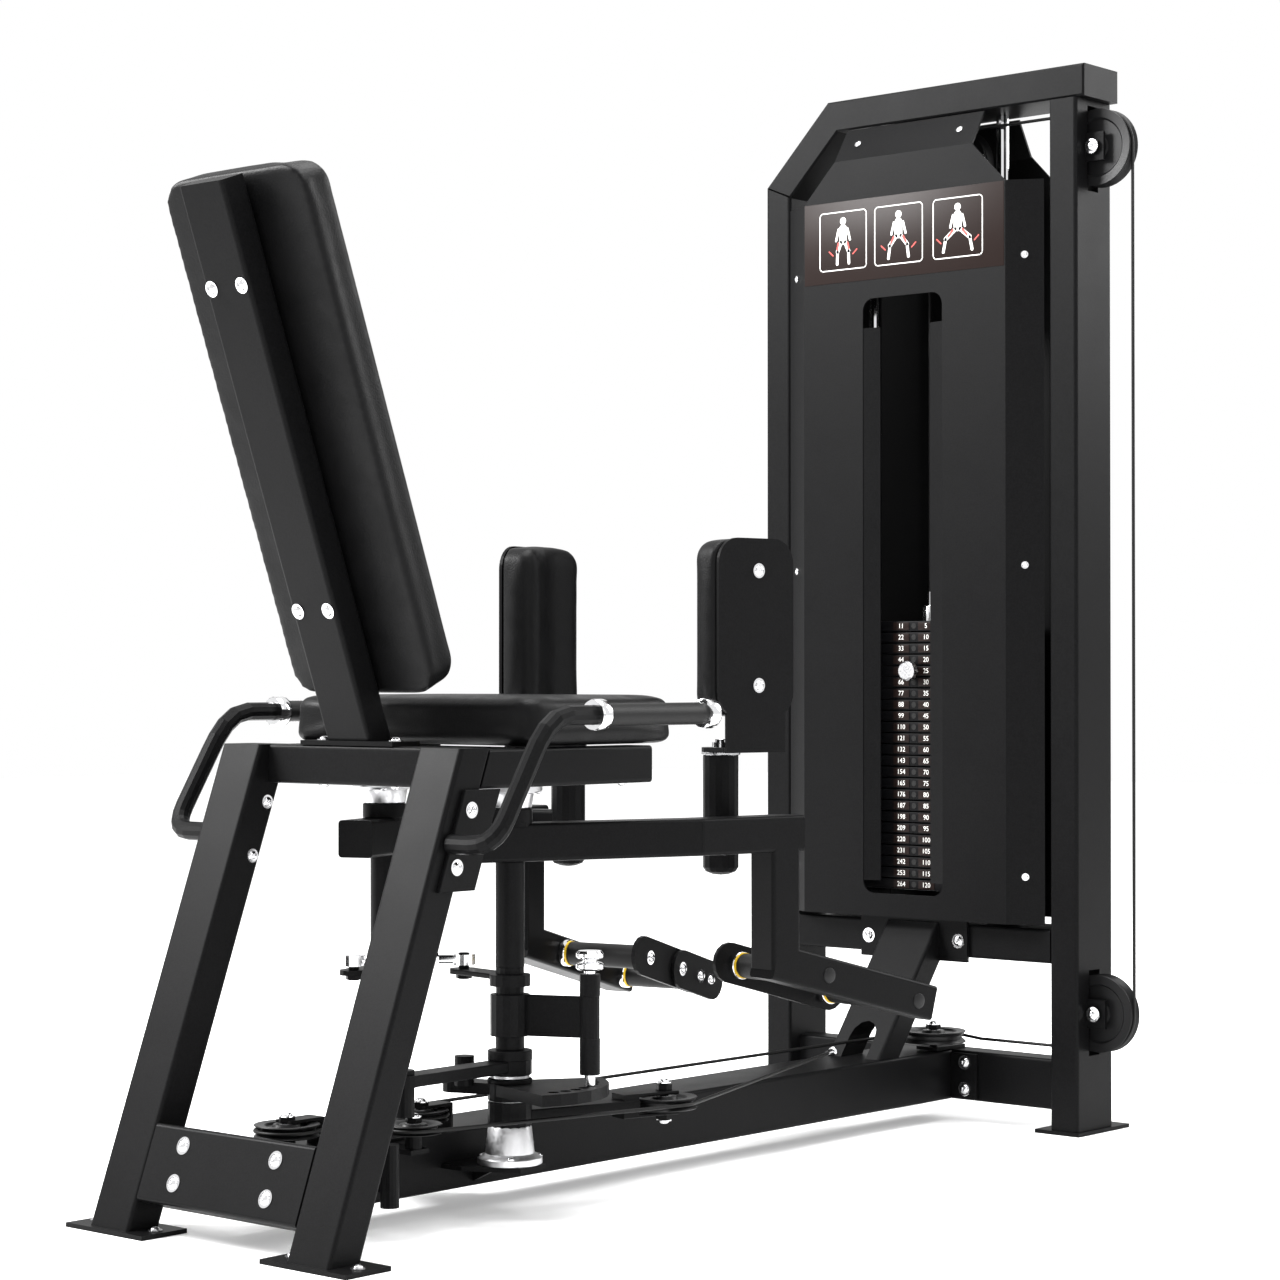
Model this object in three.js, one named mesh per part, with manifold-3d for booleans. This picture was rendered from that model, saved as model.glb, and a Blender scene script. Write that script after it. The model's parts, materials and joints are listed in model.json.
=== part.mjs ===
// Hip abductor machine: a seat with two swinging padded arms that lift a weight stack through a
// cable. Millimetres, +Z up, +Y from the seat towards the weight tower, +X to the sitter's right.
import * as THREE from 'three';
import { mergeVertices } from 'three/addons/utils/BufferGeometryUtils.js';
import Module from 'manifold-3d';

const wasm = await Module();
wasm.setup();

// ---- Driving dimensions ---------------------------------------------------------------------
const GAP = 0.3;
const CORNER = 5;
const SIDES = [['right', 1], ['left', -1]];
// Shift that puts the origin at the centre of the footprint, on the floor.
const ORIGIN_SHIFT = [-29.85, 677.36, 0];
const LEAN = THREE.MathUtils.degToRad(20);

const BASE = { halfWidth: 54, bottom: 33, top: 111.5, back: 24.7 };
const TOWER = { outer: 305.3, tube: 50, depth: 100, height: 1650, mitre: 1522, beamEnd: 319 };
const LOWER_CROSS = { bottom: 262, top: 315 };
const BASE_CROSS = { front: 25, back: 75 };
const SHROUD = { flat: 198, edge: 250, bottom: 322, shoulder: 1478, top: 1542.5, rim: 1598, topHalf: 135 };
const SHROUD_FRONT = -35;
const SHEET = 3;
const WINDOW = { half: 78, innerHalf: 49, bottom: 359, top: 1315, radius: 20, returnTop: 1268, depth: 10 };

const STACK = { plates: 24, lifted: 5, pitch: 18, bottom: 364, half: 150, front: -4, back: 112 };
const ROD = { x: 126, y: 64, radius: 10 };
const PIN_RADIUS = 4;

const CABLE = { radius: 2.5, sides: 8, lift: 4.2 };
const SIDE_PULLEY = { radius: 60, groove: 53, width: 24, x: 320, y: 47.5, top: 1524, bottom: 187 };
const INNER_PULLEY_X = 53;
const BASE_PULLEY = { radius: 52, groove: 45, width: 18, x: 33, y: 2.5, z: 134 };
const AXLE = 6;

const LEG = { inner: 148, outer: 223, depth: 50, footFront: -1484, footTop: 6, top: 617 };
const FOOT = { inner: 110, outer: 261, front: -1492, back: -1418 };
const CROSS_TUBE = { height: 100, bottom: 45 };
const SEAT_BEAM = { bottom: 566, top: 617, front: -1247.5, back: -1197.5 };
const SIDE_BEAM = { width: 50, bottom: 566, top: 615, back: -901 };
const SEAT = { half: 228, front: -1143, back: -820, top: 681, frontRadius: 30, backRadius: 75 };
const BACK_TUBE = { half: 40, thick: 40, footRear: -1243, foot: 622, length: 736 };
const BACK_PAD = { half: 132.5, length: 695, thick: 60, start: 45, radius: 38, standoff: 7 };
const HANDLE = { x: 300, z: 658, tube: 12.5, collar: 20, grip: 14.5, gripFront: -890, gripBack: -1085 };
const HANDLE_FOOT = { y: -1283, z: 500 };

const SHAFT = { x: 118, y: -1064, radius: 18.5, bottom: 72, top: 561 };
const BORE = SHAFT.radius + 0.9;
const BEARING_LOW = { bottom: 69, top: 120.7 };
const BEARING_HIGH = { bottom: 534, top: 566 };
const ARM = { size: 50, bottom: 464.5, top: 514.5, tail: 90, reach: 275, second: 150, overrun: 33 };
const ARM_ANGLE = [20.46, 10.3].map(THREE.MathUtils.degToRad);
const DROP_BOTTOM = 291;
const FOOT_BAR = { drop: 14.5, length: 275, peg: [78, 250], pegZ: [290, 243], reach: 150 };
const PAD_POST = { x: 145.2, y: -664.1, radius: 25, bottom: 428, top: 596 };
const PAD = { outer: 77, plate: 5, thick: 53, half: 75, bottom: 650, top: 898, plateHalf: 68, neck: 53 };

const SECTOR = { bottom: 160, top: 175, radius: 130, hole: 8, holeRadius: 110, first: -16, holes: 8 };
const FLAG = { bottom: 237, top: 291, angle: THREE.MathUtils.degToRad(24), tube: 13, low: 190, high: 320 };
const LEVER = { bottom: 190, top: 205, end: [121, -1259], rodBottom: 152 };
const PULL_BAR = { bottom: 124, top: 140, end: [187, -835] };
const DRIVE_PULLEY = { radius: 45, groove: 39, width: 16, z: 132 };
const FRONT_PULLEY = { radius: 42, groove: 36, width: 16, x: 2, y: -1350, z: 134 };
const TURN_PULLEY_A = { radius: 37, groove: 31, width: 14, x: 36, y: -1147, z: 134 };
const TURN_PULLEY_B = { radius: 37, groove: 31, width: 12, x: 92, y: -1215, z: 130 };
const CABLE_ANCHOR = [30, -262];
const CHEEK = { half: 18, rise: 22, thick: 5.5, near: 21, far: 15.5, axleReach: 26 };
const TIE = { z: 329, right: [18.2, -1048.3], left: [-79.3, -1157.6], plate: [310, 317], rod: 7 };

// ---- Materials ------------------------------------------------------------------------------
const LOOK = {
  powder: { color: 0x1b1b1c, roughness: 0.62, metalness: 0.3 },
  leather: { color: 0x151515, roughness: 0.5, metalness: 0 },
  chrome: { color: 0xd9d9d9, roughness: 0.12, metalness: 1 },
  steel: { color: 0x8d8f92, roughness: 0.35, metalness: 1 },
  plastic: { color: 0x111112, roughness: 0.5, metalness: 0 },
  rubber: { color: 0x0c0c0d, roughness: 0.85, metalness: 0 },
  plates: { color: 0x17181a, roughness: 0.55, metalness: 0.4 },
};

// ---- Solid helpers --------------------------------------------------------------------------
const v3 = (x, y, z) => new THREE.Vector3(x, y, z);
const UP = v3(0, 0, 1);

function toManifold(geometry) {
  const plain = geometry.clone();
  plain.deleteAttribute('normal');
  plain.deleteAttribute('uv');
  const merged = mergeVertices(plain, 1e-4);
  const source = merged.index.array;
  const points = Float32Array.from(merged.attributes.position.array);
  const corner = (i) => v3(points[3 * i], points[3 * i + 1], points[3 * i + 2]);
  const triangles = [];
  let volume = 0;
  for (let i = 0; i < source.length; i += 3) {
    const [a, b, c] = [source[i], source[i + 1], source[i + 2]];
    if (a === b || b === c || a === c) continue;
    triangles.push([a, b, c]);
    volume += corner(a).dot(corner(b).cross(corner(c)));
  }
  const order = volume < 0 ? triangles.map(([a, b, c]) => [a, c, b]) : triangles;
  const triVerts = Uint32Array.from(order.flat());
  return new wasm.Manifold(new wasm.Mesh({ numProp: 3, vertProperties: points, triVerts }));
}

function fromManifold(solid) {
  const mesh = solid.getMesh();
  const geometry = new THREE.BufferGeometry();
  geometry.setAttribute('position', new THREE.BufferAttribute(mesh.vertProperties, 3));
  geometry.setIndex(new THREE.BufferAttribute(mesh.triVerts, 1));
  return geometry;
}

function join(...pieces) {
  return fromManifold(pieces.map(toManifold).reduce((whole, piece) => whole.add(piece)));
}

function cut(body, ...tools) {
  return fromManifold(tools.map(toManifold).reduce((whole, tool) => whole.subtract(tool), toManifold(body)));
}

// Mirrors a right-hand piece to the left; toManifold puts its faces the right way round again.
function sided(geometry, side) {
  const copy = geometry.clone();
  return fromManifold(toManifold(side > 0 ? copy : copy.applyMatrix4(new THREE.Matrix4().makeScale(-1, 1, 1))));
}

function box(x0, x1, y0, y1, z0, z1) {
  const geometry = new THREE.BoxGeometry(x1 - x0, y1 - y0, z1 - z0);
  return geometry.translate((x0 + x1) / 2, (y0 + y1) / 2, (z0 + z1) / 2);
}

// A frame whose Z axis runs from one point to another, with its Y axis towards up.
function frameBetween(from, to, up = UP) {
  const z = to.clone().sub(from).normalize();
  const x = v3().crossVectors(up, z).normalize();
  return new THREE.Matrix4().makeBasis(x, v3().crossVectors(z, x), z).setPosition(from);
}

function roundedRect(width, height, radius) {
  const [w, h, r] = [width / 2, height / 2, radius];
  const shape = new THREE.Shape();
  shape.absarc(w - r, h - r, r, 0, Math.PI / 2);
  shape.absarc(r - w, h - r, r, Math.PI / 2, Math.PI);
  shape.absarc(r - w, r - h, r, Math.PI, 1.5 * Math.PI);
  shape.absarc(w - r, r - h, r, 1.5 * Math.PI, 2 * Math.PI);
  return shape;
}

function extrude(shape, depth, options = {}) {
  return new THREE.ExtrudeGeometry(shape, { depth, steps: 1, curveSegments: 2, bevelEnabled: false, ...options });
}

// A tube of rounded rectangular section between two points: width across, height towards up.
function bar(from, to, width, height, up = UP, radius = CORNER) {
  const length = from.distanceTo(to);
  return extrude(roundedRect(width, height, radius), length).applyMatrix4(frameBetween(from, to, up));
}

function rod(from, to, radius, sides = 12) {
  const length = from.distanceTo(to);
  const up = Math.abs(to.z - from.z) > 0.9 * length ? v3(0, 1, 0) : UP;
  const geometry = new THREE.CylinderGeometry(radius, radius, length, sides);
  return geometry.rotateX(Math.PI / 2).translate(0, 0, length / 2).applyMatrix4(frameBetween(from, to, up));
}

function post(x, y, z0, z1, radius, sides = 16) {
  return rod(v3(x, y, z0), v3(x, y, z1), radius, sides);
}

// A turned solid about +Z; a profile of [radius, z] points that leaves the axis is closed on itself.
function turned(profile, segments = 16) {
  const onAxis = profile[0][0] === 0;
  const points = [...profile, ...(onAxis ? [] : [profile[0]])].map(([r, z]) => new THREE.Vector2(r, z));
  return new THREE.LatheGeometry(points, segments).rotateX(Math.PI / 2);
}

// Turns a +Z solid to point along another axis and places it.
function aimed(geometry, at, axis) {
  const turn = new THREE.Quaternion().setFromUnitVectors(UP, axis.clone().normalize());
  return geometry.applyQuaternion(turn).translate(at.x, at.y, at.z);
}

// A plate whose outline lies in a vertical or horizontal plane; corners are softened by a bevel.
function outlinePlate(points, thickness, basis, bevel = 0) {
  const isShape = points instanceof THREE.Shape;
  const shape = isShape ? points : new THREE.Shape(points.map(([a, b]) => new THREE.Vector2(a, b)));
  const options = bevel
    ? { bevelEnabled: true, bevelSize: bevel, bevelOffset: -bevel, bevelThickness: bevel, bevelSegments: 1 }
    : {};
  const geometry = extrude(shape, thickness - 2 * bevel, { ...options, curveSegments: 4 });
  return geometry.translate(0, 0, bevel).applyMatrix4(basis);
}

const alongX = (x = 0) => new THREE.Matrix4().makeBasis(v3(0, 1, 0), UP, v3(1, 0, 0)).setPosition(x, 0, 0);
const alongY = (y = 0) => new THREE.Matrix4().makeBasis(v3(-1, 0, 0), UP, v3(0, 1, 0)).setPosition(0, y, 0);
const alongZ = (z = 0) => new THREE.Matrix4().setPosition(0, 0, z);

// A route whose steps fall exactly on its own points.
class Route extends THREE.Curve {
  constructor(points) {
    super();
    this.points = points;
  }

  getPoint(t) {
    const place = Math.min(Math.max(t, 0), 1) * (this.points.length - 1);
    const index = Math.min(Math.floor(place), this.points.length - 2);
    return this.points[index].clone().lerp(this.points[index + 1], place - index);
  }

  getPointAt(t) {
    return this.getPoint(t);
  }

  getTangentAt(t) {
    return this.getTangent(t);
  }
}

// A round tube, or a cable with few sides, through a list of points.
function cord(points, radius = CABLE.radius, sides = CABLE.sides) {
  const section = new THREE.Shape();
  for (let i = 0; i < sides; i += 1) {
    const angle = (2 * Math.PI * i) / sides;
    section[i ? 'lineTo' : 'moveTo'](radius * Math.cos(angle), radius * Math.sin(angle));
  }
  section.closePath();
  const options = { steps: points.length - 1, bevelEnabled: false, extrudePath: new Route(points) };
  return new THREE.ExtrudeGeometry(section, options);
}

// Points round part of a circle in the plane of two unit vectors.
function arc(centre, radius, u, v, from, to, count) {
  return Array.from({ length: count + 1 }, (_, i) => {
    const angle = THREE.MathUtils.degToRad(from + ((to - from) * i) / count);
    return centre.clone().addScaledVector(u, radius * Math.cos(angle)).addScaledVector(v, radius * Math.sin(angle));
  });
}

function pulley({ radius, groove, width }) {
  const half = width / 2;
  const bore = AXLE + 0.4;
  return turned([[bore, -half], [radius, -half], [groove, -1.5], [groove, 1.5], [radius, half], [bore, half]], 18);
}

// ---- Scene graph ----------------------------------------------------------------------------
const machine = new THREE.Group();
machine.position.set(...ORIGIN_SHIFT);

function add(name, look, geometry) {
  const solid = fromManifold(toManifold(geometry).simplify(0.05));
  const mesh = new THREE.Mesh(solid, new THREE.MeshStandardMaterial(LOOK[look]));
  mesh.geometry.computeVertexNormals();
  mesh.name = name;
  machine.add(mesh);
  return mesh;
}

// ---- Base and legs --------------------------------------------------------------------------
const leanUp = v3(0, Math.sin(LEAN), Math.cos(LEAN));
const leanOut = v3(0, Math.cos(LEAN), -Math.sin(LEAN));
const legFront = (z) => LEG.footFront + (z - LEG.footTop) * Math.tan(LEAN);
const legRear = (z) => legFront(z) + LEG.depth / Math.cos(LEAN);
const legPoint = (x, z) => v3(x, legFront(z), z).addScaledVector(leanOut, LEG.depth / 2);
// Everything in front of the leaning rear face of the legs, with the usual gap.
const legSpace = box(-400, 400, -400, LEG.depth / 2 + GAP, -900, 900)
  .applyMatrix4(frameBetween(legPoint(0, 0), legPoint(0, 500), leanOut));

function makeBase() {
  const middle = (BASE.bottom + BASE.top) / 2;
  const height = BASE.top - BASE.bottom;
  const beam = bar(v3(0, -1460, middle), v3(0, BASE.back, middle), 2 * BASE.halfWidth, height);
  const shelf = (side) => {
    const [near, far] = [SHAFT.y - 62, SHAFT.y + 62];
    const tip = SHAFT.x + 42;
    const outline = [[50, near], [50, far], [90, far], [tip, SHAFT.y + 24], [tip, SHAFT.y - 24], [90, near]];
    const plate = outlinePlate(outline, 6, alongZ(64));
    const gusset = outlinePlate([[-50, 38], [-50, 66], [-108, 66]], 8, alongY(SHAFT.y - 4));
    return sided(join(plate, gusset.rotateZ(Math.PI).translate(0, 2 * SHAFT.y, 0)), side);
  };
  const pins = [FRONT_PULLEY, TURN_PULLEY_A].map(({ x, y, z }) => join(
    post(x, y, BASE.top - 3, z - 11, 11), post(x, y, BASE.top - 3, z + 16, AXLE),
    post(x, y, z + 9.5, z + 17, 11, 6)));
  const guard = ({ x, y, z, radius }) => {
    const plate = box(x - 14, x + 14, y - 6, y + radius + 9, z + 9, z + 13);
    return join(plate, box(x - 14, x + 14, y + radius + 5, y + radius + 9, BASE.top - 3, z + 13));
  };
  const { x: armX, y: armY, z: armZ } = TURN_PULLEY_B;
  const arm = join(
    box(50, armX + 12, armY - 16, armY + 16, 98, 104),
    post(armX, armY, 100, armZ - 7, 11),
    post(armX, armY, 100, armZ + 12, AXLE),
    post(armX, armY, armZ + 7.5, armZ + 14, 11, 6),
  );
  const peg = join(box(50, 119, -1291, -1275, 60, 72), post(119, -1283, 41, 120, 12));
  const bearings = SIDES.map(([, side]) => sided(lowerBearing(), side));
  const guards = [FRONT_PULLEY, TURN_PULLEY_A].map(guard);
  const whole = join(beam, shelf(1), shelf(-1), ...bearings, ...pins, ...guards, arm, peg);
  add('base_beam', 'powder', cut(whole, legSpace));
}

function makeFrontFrame() {
  const low = LEG.footFront + (CROSS_TUBE.bottom - LEG.footTop) * Math.tan(LEAN);
  const centre = v3(0, low, CROSS_TUBE.bottom)
    .addScaledVector(leanUp, CROSS_TUBE.height / 2).addScaledVector(leanOut, LEG.depth / 2);
  const half = LEG.inner - GAP;
  const [left, right] = [-half, half].map((x) => centre.clone().setX(x));
  add('front_cross_tube', 'powder', bar(left, right, LEG.depth, CROSS_TUBE.height, leanUp));
  const middle = (LEG.inner + LEG.outer) / 2;
  SIDES.forEach(([name, side]) => {
    const leg = bar(legPoint(middle, -60), legPoint(middle, 700), LEG.outer - LEG.inner, LEG.depth, leanOut);
    const trimmed = cut(leg, box(0, 300, -1700, -1000, -200, 2), box(0, 300, -1700, -1000, LEG.top, 900));
    const foot = box(FOOT.inner, FOOT.outer, FOOT.front, FOOT.back, 0, LEG.footTop);
    add(`front_leg_${name}`, 'powder', sided(join(trimmed, foot), side));
  });
}

function makeSeatFrame() {
  const height = SEAT_BEAM.top - SEAT_BEAM.bottom;
  const frontY = (SEAT_BEAM.front + SEAT_BEAM.back) / 2;
  const frontZ = SEAT_BEAM.bottom + height / 2;
  const halfFront = LEG.inner - GAP;
  add('seat_front_beam', 'powder',
    bar(v3(-halfFront, frontY, frontZ), v3(halfFront, frontY, frontZ), SEAT_BEAM.back - SEAT_BEAM.front, height));
  const sideX = LEG.outer - SIDE_BEAM.width / 2;
  const sideZ = (SIDE_BEAM.bottom + SIDE_BEAM.top) / 2;
  SIDES.forEach(([name, side]) => {
    const [from, to] = [-1260, SIDE_BEAM.back].map((y) => v3(sideX, y, sideZ));
    const beam = bar(from, to, SIDE_BEAM.width, SIDE_BEAM.top - SIDE_BEAM.bottom);
    add(`seat_side_beam_${name}`, 'powder', sided(cut(beam, legSpace), side));
  });
  const halfMiddle = LEG.outer - SIDE_BEAM.width - GAP;
  const middle = bar(v3(-halfMiddle, SHAFT.y, 589), v3(halfMiddle, SHAFT.y, 589), 50, 49);
  add('seat_mid_beam', 'powder', join(middle, ...SIDES.map(([, side]) => sided(upperBearing(), side))));
}

// ---- Seat and backrest ----------------------------------------------------------------------
function seatOutline() {
  const { half, front, back, frontRadius: near, backRadius: far } = SEAT;
  const shape = new THREE.Shape();
  shape.absarc(half - near, front + near, near, -Math.PI / 2, 0);
  shape.absarc(half - far, back - far, far, 0, Math.PI / 2);
  shape.absarc(far - half, back - far, far, Math.PI / 2, Math.PI);
  shape.absarc(near - half, front + near, near, Math.PI, 1.5 * Math.PI);
  return shape;
}

function makeSeat() {
  const floor = SIDE_BEAM.top + GAP;
  add('seat_pad', 'leather', outlinePlate(seatOutline(), SEAT.top - floor, alongZ(floor), 10));
}

function makeBackrest() {
  const up = v3(0, -Math.sin(LEAN), Math.cos(LEAN));
  const ahead = v3(0, Math.cos(LEAN), Math.sin(LEAN));
  const foot = v3(0, BACK_TUBE.footRear, BACK_TUBE.foot);
  const axis = foot.clone().addScaledVector(ahead, BACK_TUBE.thick / 2);
  const tube = bar(axis.clone().addScaledVector(up, -30), axis.clone().addScaledVector(up, BACK_TUBE.length),
    2 * BACK_TUBE.half, BACK_TUBE.thick, ahead);
  const seatTop = SEAT_BEAM.top + GAP;
  const plate = box(-86, 86, SEAT_BEAM.front, SEAT_BEAM.back - 1, seatTop, seatTop + 6);
  const face = foot.clone().addScaledVector(ahead, BACK_TUBE.thick);
  const [low, high] = [BACK_PAD.start, BACK_PAD.start + BACK_PAD.length];
  const layer = (width, from, to, near, far, radius, bevel) => {
    const shape = roundedRect(width, to - from, radius);
    const basis = new THREE.Matrix4().makeBasis(v3(-1, 0, 0), up, ahead);
    basis.setPosition(face.clone().addScaledVector(up, (from + to) / 2).addScaledVector(ahead, near));
    return outlinePlate(shape, far - near, basis, bevel);
  };
  const spacer = layer(60, low + 30, high - 30, -1, BACK_PAD.standoff - GAP, 5, 0);
  add('backrest_post', 'powder', join(cut(tube, box(-100, 100, -1400, -1100, 500, seatTop + 3)), plate, spacer));
  add('backrest_pad', 'leather',
    layer(2 * BACK_PAD.half, low, high, BACK_PAD.standoff, BACK_PAD.standoff + BACK_PAD.thick, BACK_PAD.radius, 12));
}

// ---- Handles --------------------------------------------------------------------------------
function makeHandles() {
  const { x, z, tube, collar, grip } = HANDLE;
  const across = (y, height) => v3(x, y, height);
  const bend = new THREE.CubicBezierCurve3(...[[-1150, z], [-1182, z], [-1203, 628], [-1218, 603]]
    .map(([y, height]) => across(y, height)));
  const footPoint = (far) => v3(far, HANDLE_FOOT.y, HANDLE_FOOT.z);
  const elbow = new THREE.CubicBezierCurve3(
    across(-1262, 532), across(-1274, 512), footPoint(x - 12), footPoint(x - 34));
  const start = across(HANDLE.gripBack - GAP, z);
  const route = [start, ...bend.getPoints(4), ...elbow.getPoints(5), footPoint(LEG.outer + 3)];
  const gussetOutline = [[-1306, 441], [-1243, 441], [-1197, 566], [-1260, 566]];
  SIDES.forEach(([name, side]) => {
    const gusset = outlinePlate(gussetOutline, 6, alongX(LEG.outer + GAP), 1);
    const ring = rod(across(HANDLE.gripBack - 18, z), across(HANDLE.gripBack - GAP, z), collar, 16);
    add(`handle_${name}`, 'powder', sided(join(cord(route, tube, 12), gusset, ring), side));
    const length = HANDLE.gripFront - HANDLE.gripBack;
    const profile = turned([[0, 0], [grip, 0], [grip, length], [collar, length + 2], [collar, length + 18],
      [grip, length + 24], [0, length + 24]]);
    add(`grip_${name}`, 'rubber', sided(aimed(profile, across(HANDLE.gripBack, z), v3(0, 1, 0)), side));
  });
}

// ---- Weight tower ---------------------------------------------------------------------------
// Two cheek plates and the axle of an upright pulley; the plates run sideways to reach.
function pulleyCheeks(x, z, reach, top = CHEEK.rise) {
  const { y } = SIDE_PULLEY;
  const { half, rise, thick, near, far, axleReach } = CHEEK;
  const [low, high] = [Math.min(x - half, reach), Math.max(x + half, reach)];
  const plates = [y - near, y + far].map((face) => box(low, high, face, face + thick, z - rise, z + top));
  return join(...plates, rod(v3(x, y - axleReach, z), v3(x, y + axleReach, z), AXLE));
}

function makeTower() {
  const { outer, tube, depth, height, mitre, beamEnd } = TOWER;
  const inner = outer - tube;
  const beamLow = height - tube;
  const outerSum = outer + mitre;
  const innerSum = outerSum - tube * Math.SQRT2;
  const outline = [[outer, mitre], [outerSum - height, height], [-beamEnd, height], [-beamEnd, beamLow],
    [innerSum - beamLow, beamLow], [inner, innerSum - inner]];
  const hanger = pulleyCheeks(INNER_PULLEY_X, SIDE_PULLEY.top, INNER_PULLEY_X, beamLow + 4 - SIDE_PULLEY.top);
  add('top_beam', 'powder', join(outlinePlate(outline, depth, alongY(), 3), hanger));

  const middle = outer - tube / 2;
  const upright = (top) => bar(v3(middle, depth / 2, 3), v3(middle, depth / 2, top), tube, depth, v3(0, 1, 0));
  const foot = box(inner - 25, outer + 5, -5, depth + 40, 0, 6);
  // Everything above the mitre joint of the left post, which leans at half of 45 degrees.
  const mitreSlope = Math.SQRT2 - 1;
  const over = 9;
  const wedge = outlinePlate([[outer + over, mitre - GAP + over * mitreSlope],
    [inner - over, mitre - GAP - (tube + over) * mitreSlope], [inner - over, 1800], [outer + over, 1800]],
  200, alongY(-50));
  const leftPost = cut(upright(1600), wedge.applyMatrix4(new THREE.Matrix4().makeScale(-1, 1, 1)));
  add('tower_post_left', 'powder', sided(join(leftPost, foot), -1));

  const { x, y, radius, width, top, bottom } = SIDE_PULLEY;
  const slot = (z) => box(inner - 2, outer + 2, y - width / 2 - 3, y + width / 2 + 3, z - radius - 6, z + radius + 6);
  const rightPost = cut(join(upright(beamLow - GAP), foot), slot(top), slot(bottom));
  const cheeks = [top, bottom].map((z) => pulleyCheeks(x, z, outer - 4));
  add('tower_post_right', 'powder', join(rightPost, ...cheeks));

  const between = inner - GAP;
  const baseMiddle = (BASE.bottom + BASE.top) / 2;
  const crossY = (BASE_CROSS.front + BASE_CROSS.back) / 2;
  const crossbeam = bar(v3(-between, crossY, baseMiddle), v3(between, crossY, baseMiddle),
    BASE_CROSS.back - BASE_CROSS.front, BASE.top - BASE.bottom);
  const { x: baseX, y: baseY, z: baseZ } = BASE_PULLEY;
  const boss = join(box(baseX - 20, baseX + 20, 27, 62, BASE.top - 3, BASE.top + 6),
    box(baseX - 20, baseX + 20, baseY - 18, 40, BASE.top + 1, BASE.top + 6),
    post(baseX, baseY, BASE.top + 1, baseZ + 18, AXLE), post(baseX, baseY, baseZ + 11, baseZ + 18, 12, 6));
  add('base_crossbeam', 'powder', join(crossbeam, boss));
  const lowerZ = (LOWER_CROSS.bottom + LOWER_CROSS.top) / 2;
  const lower = bar(v3(-between, 50, lowerZ), v3(between, 50, lowerZ), 99, LOWER_CROSS.top - LOWER_CROSS.bottom);
  const buffers = [1, -1].map((side) =>
    turned([[0, -4], [26, -4], [26, 42], [22, 47.5], [0, 47.5]]).translate(side * ROD.x, ROD.y, LOWER_CROSS.top));
  const rodHoles = [1, -1].map((side) =>
    post(side * ROD.x, ROD.y, LOWER_CROSS.top, LOWER_CROSS.top + 60, ROD.radius + GAP));
  add('lower_crossbeam', 'powder', cut(join(lower, ...buffers), ...rodHoles));
  makeBrace();
}

function makeBrace() {
  const [foot, head] = [v3(0, -166, BASE.top), v3(0, -10, LOWER_CROSS.top)];
  const along = head.clone().sub(foot).normalize();
  const back = v3(0, along.z, -along.y);
  const shift = back.clone().multiplyScalar(22.5);
  const low = foot.clone().add(shift).addScaledVector(along, -80);
  const high = head.clone().add(shift).addScaledVector(along, 60);
  const tube = bar(low, high, 100, 45, back);
  const ends = [box(-100, 100, -400, 200, -50, BASE.top + GAP), box(-100, 100, -400, 200, LOWER_CROSS.top, 500),
    box(-100, 100, 0.5 - 2 * GAP, 200, 0, 500)];
  const slot = join(box(-24, 24, -260, 0, 100, 142), rod(v3(0, -260, 142), v3(0, 0, 142), 24));
  const flange = box(-104, 104, -6, -0.5, LOWER_CROSS.bottom - 7, LOWER_CROSS.top + 5);
  add('brace', 'powder', join(cut(tube, ...ends, slot), flange));
}

// A folded cover: a flat face with side and top flanges folded back at its edges.
function foldedCover(face, rim) {
  const { flat, edge, bottom, shoulder, top, topHalf } = SHROUD;
  const back = Math.sign(rim - face);
  const skin = back * SHEET;
  const crossSection = new THREE.Shape([[-edge, rim], [-flat, face], [flat, face], [edge, rim],
    [edge - 2, rim + skin], [flat - 1, face + skin], [1 - flat, face + skin], [2 - edge, rim + skin]]
    .map(([x, y]) => new THREE.Vector2(x, y)));
  const body = extrude(crossSection, shoulder - bottom).translate(0, 0, bottom);
  const head = outlinePlate([[-flat, shoulder - 1], [flat, shoulder - 1], [topHalf, top], [-topHalf, top]], SHEET,
    alongY(Math.min(face, face + skin)));
  const lipOutline = [[face, top - 1], [rim + back * 5, SHROUD.rim], [rim + back * 8, SHROUD.rim - 2],
    [face + skin, top - 3]];
  const lip = outlinePlate(lipOutline, 2 * topHalf, alongX(-topHalf));
  return join(body, head, lip);
}

function makeShrouds() {
  const { half, innerHalf, bottom, top, radius, returnTop, depth } = WINDOW;
  const opening = outlinePlate(roundedRect(2 * half, top - bottom, radius), 60,
    alongY(SHROUD_FRONT - 20).multiply(new THREE.Matrix4().makeTranslation(0, (bottom + top) / 2, 0)));
  const [face, back] = [SHROUD_FRONT + 0.4, SHROUD_FRONT + depth];
  // The window's side edges turn inwards as two slanting strips.
  const section = new THREE.Shape([[half + 2, face], [innerHalf, back - 2], [innerHalf, back], [half + 2, face + 2.2]]
    .map(([x, y]) => new THREE.Vector2(x, y)));
  const inwardReturn = extrude(section, returnTop - bottom - radius).translate(0, 0, bottom + radius);
  const returns = SIDES.map(([, side]) => sided(inwardReturn, side));
  add('shroud_front', 'powder', join(cut(foldedCover(SHROUD_FRONT, -5), opening), ...returns));
  add('shroud_rear', 'powder', foldedCover(TOWER.depth - SHROUD_FRONT, TOWER.depth + 5));
}

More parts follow.
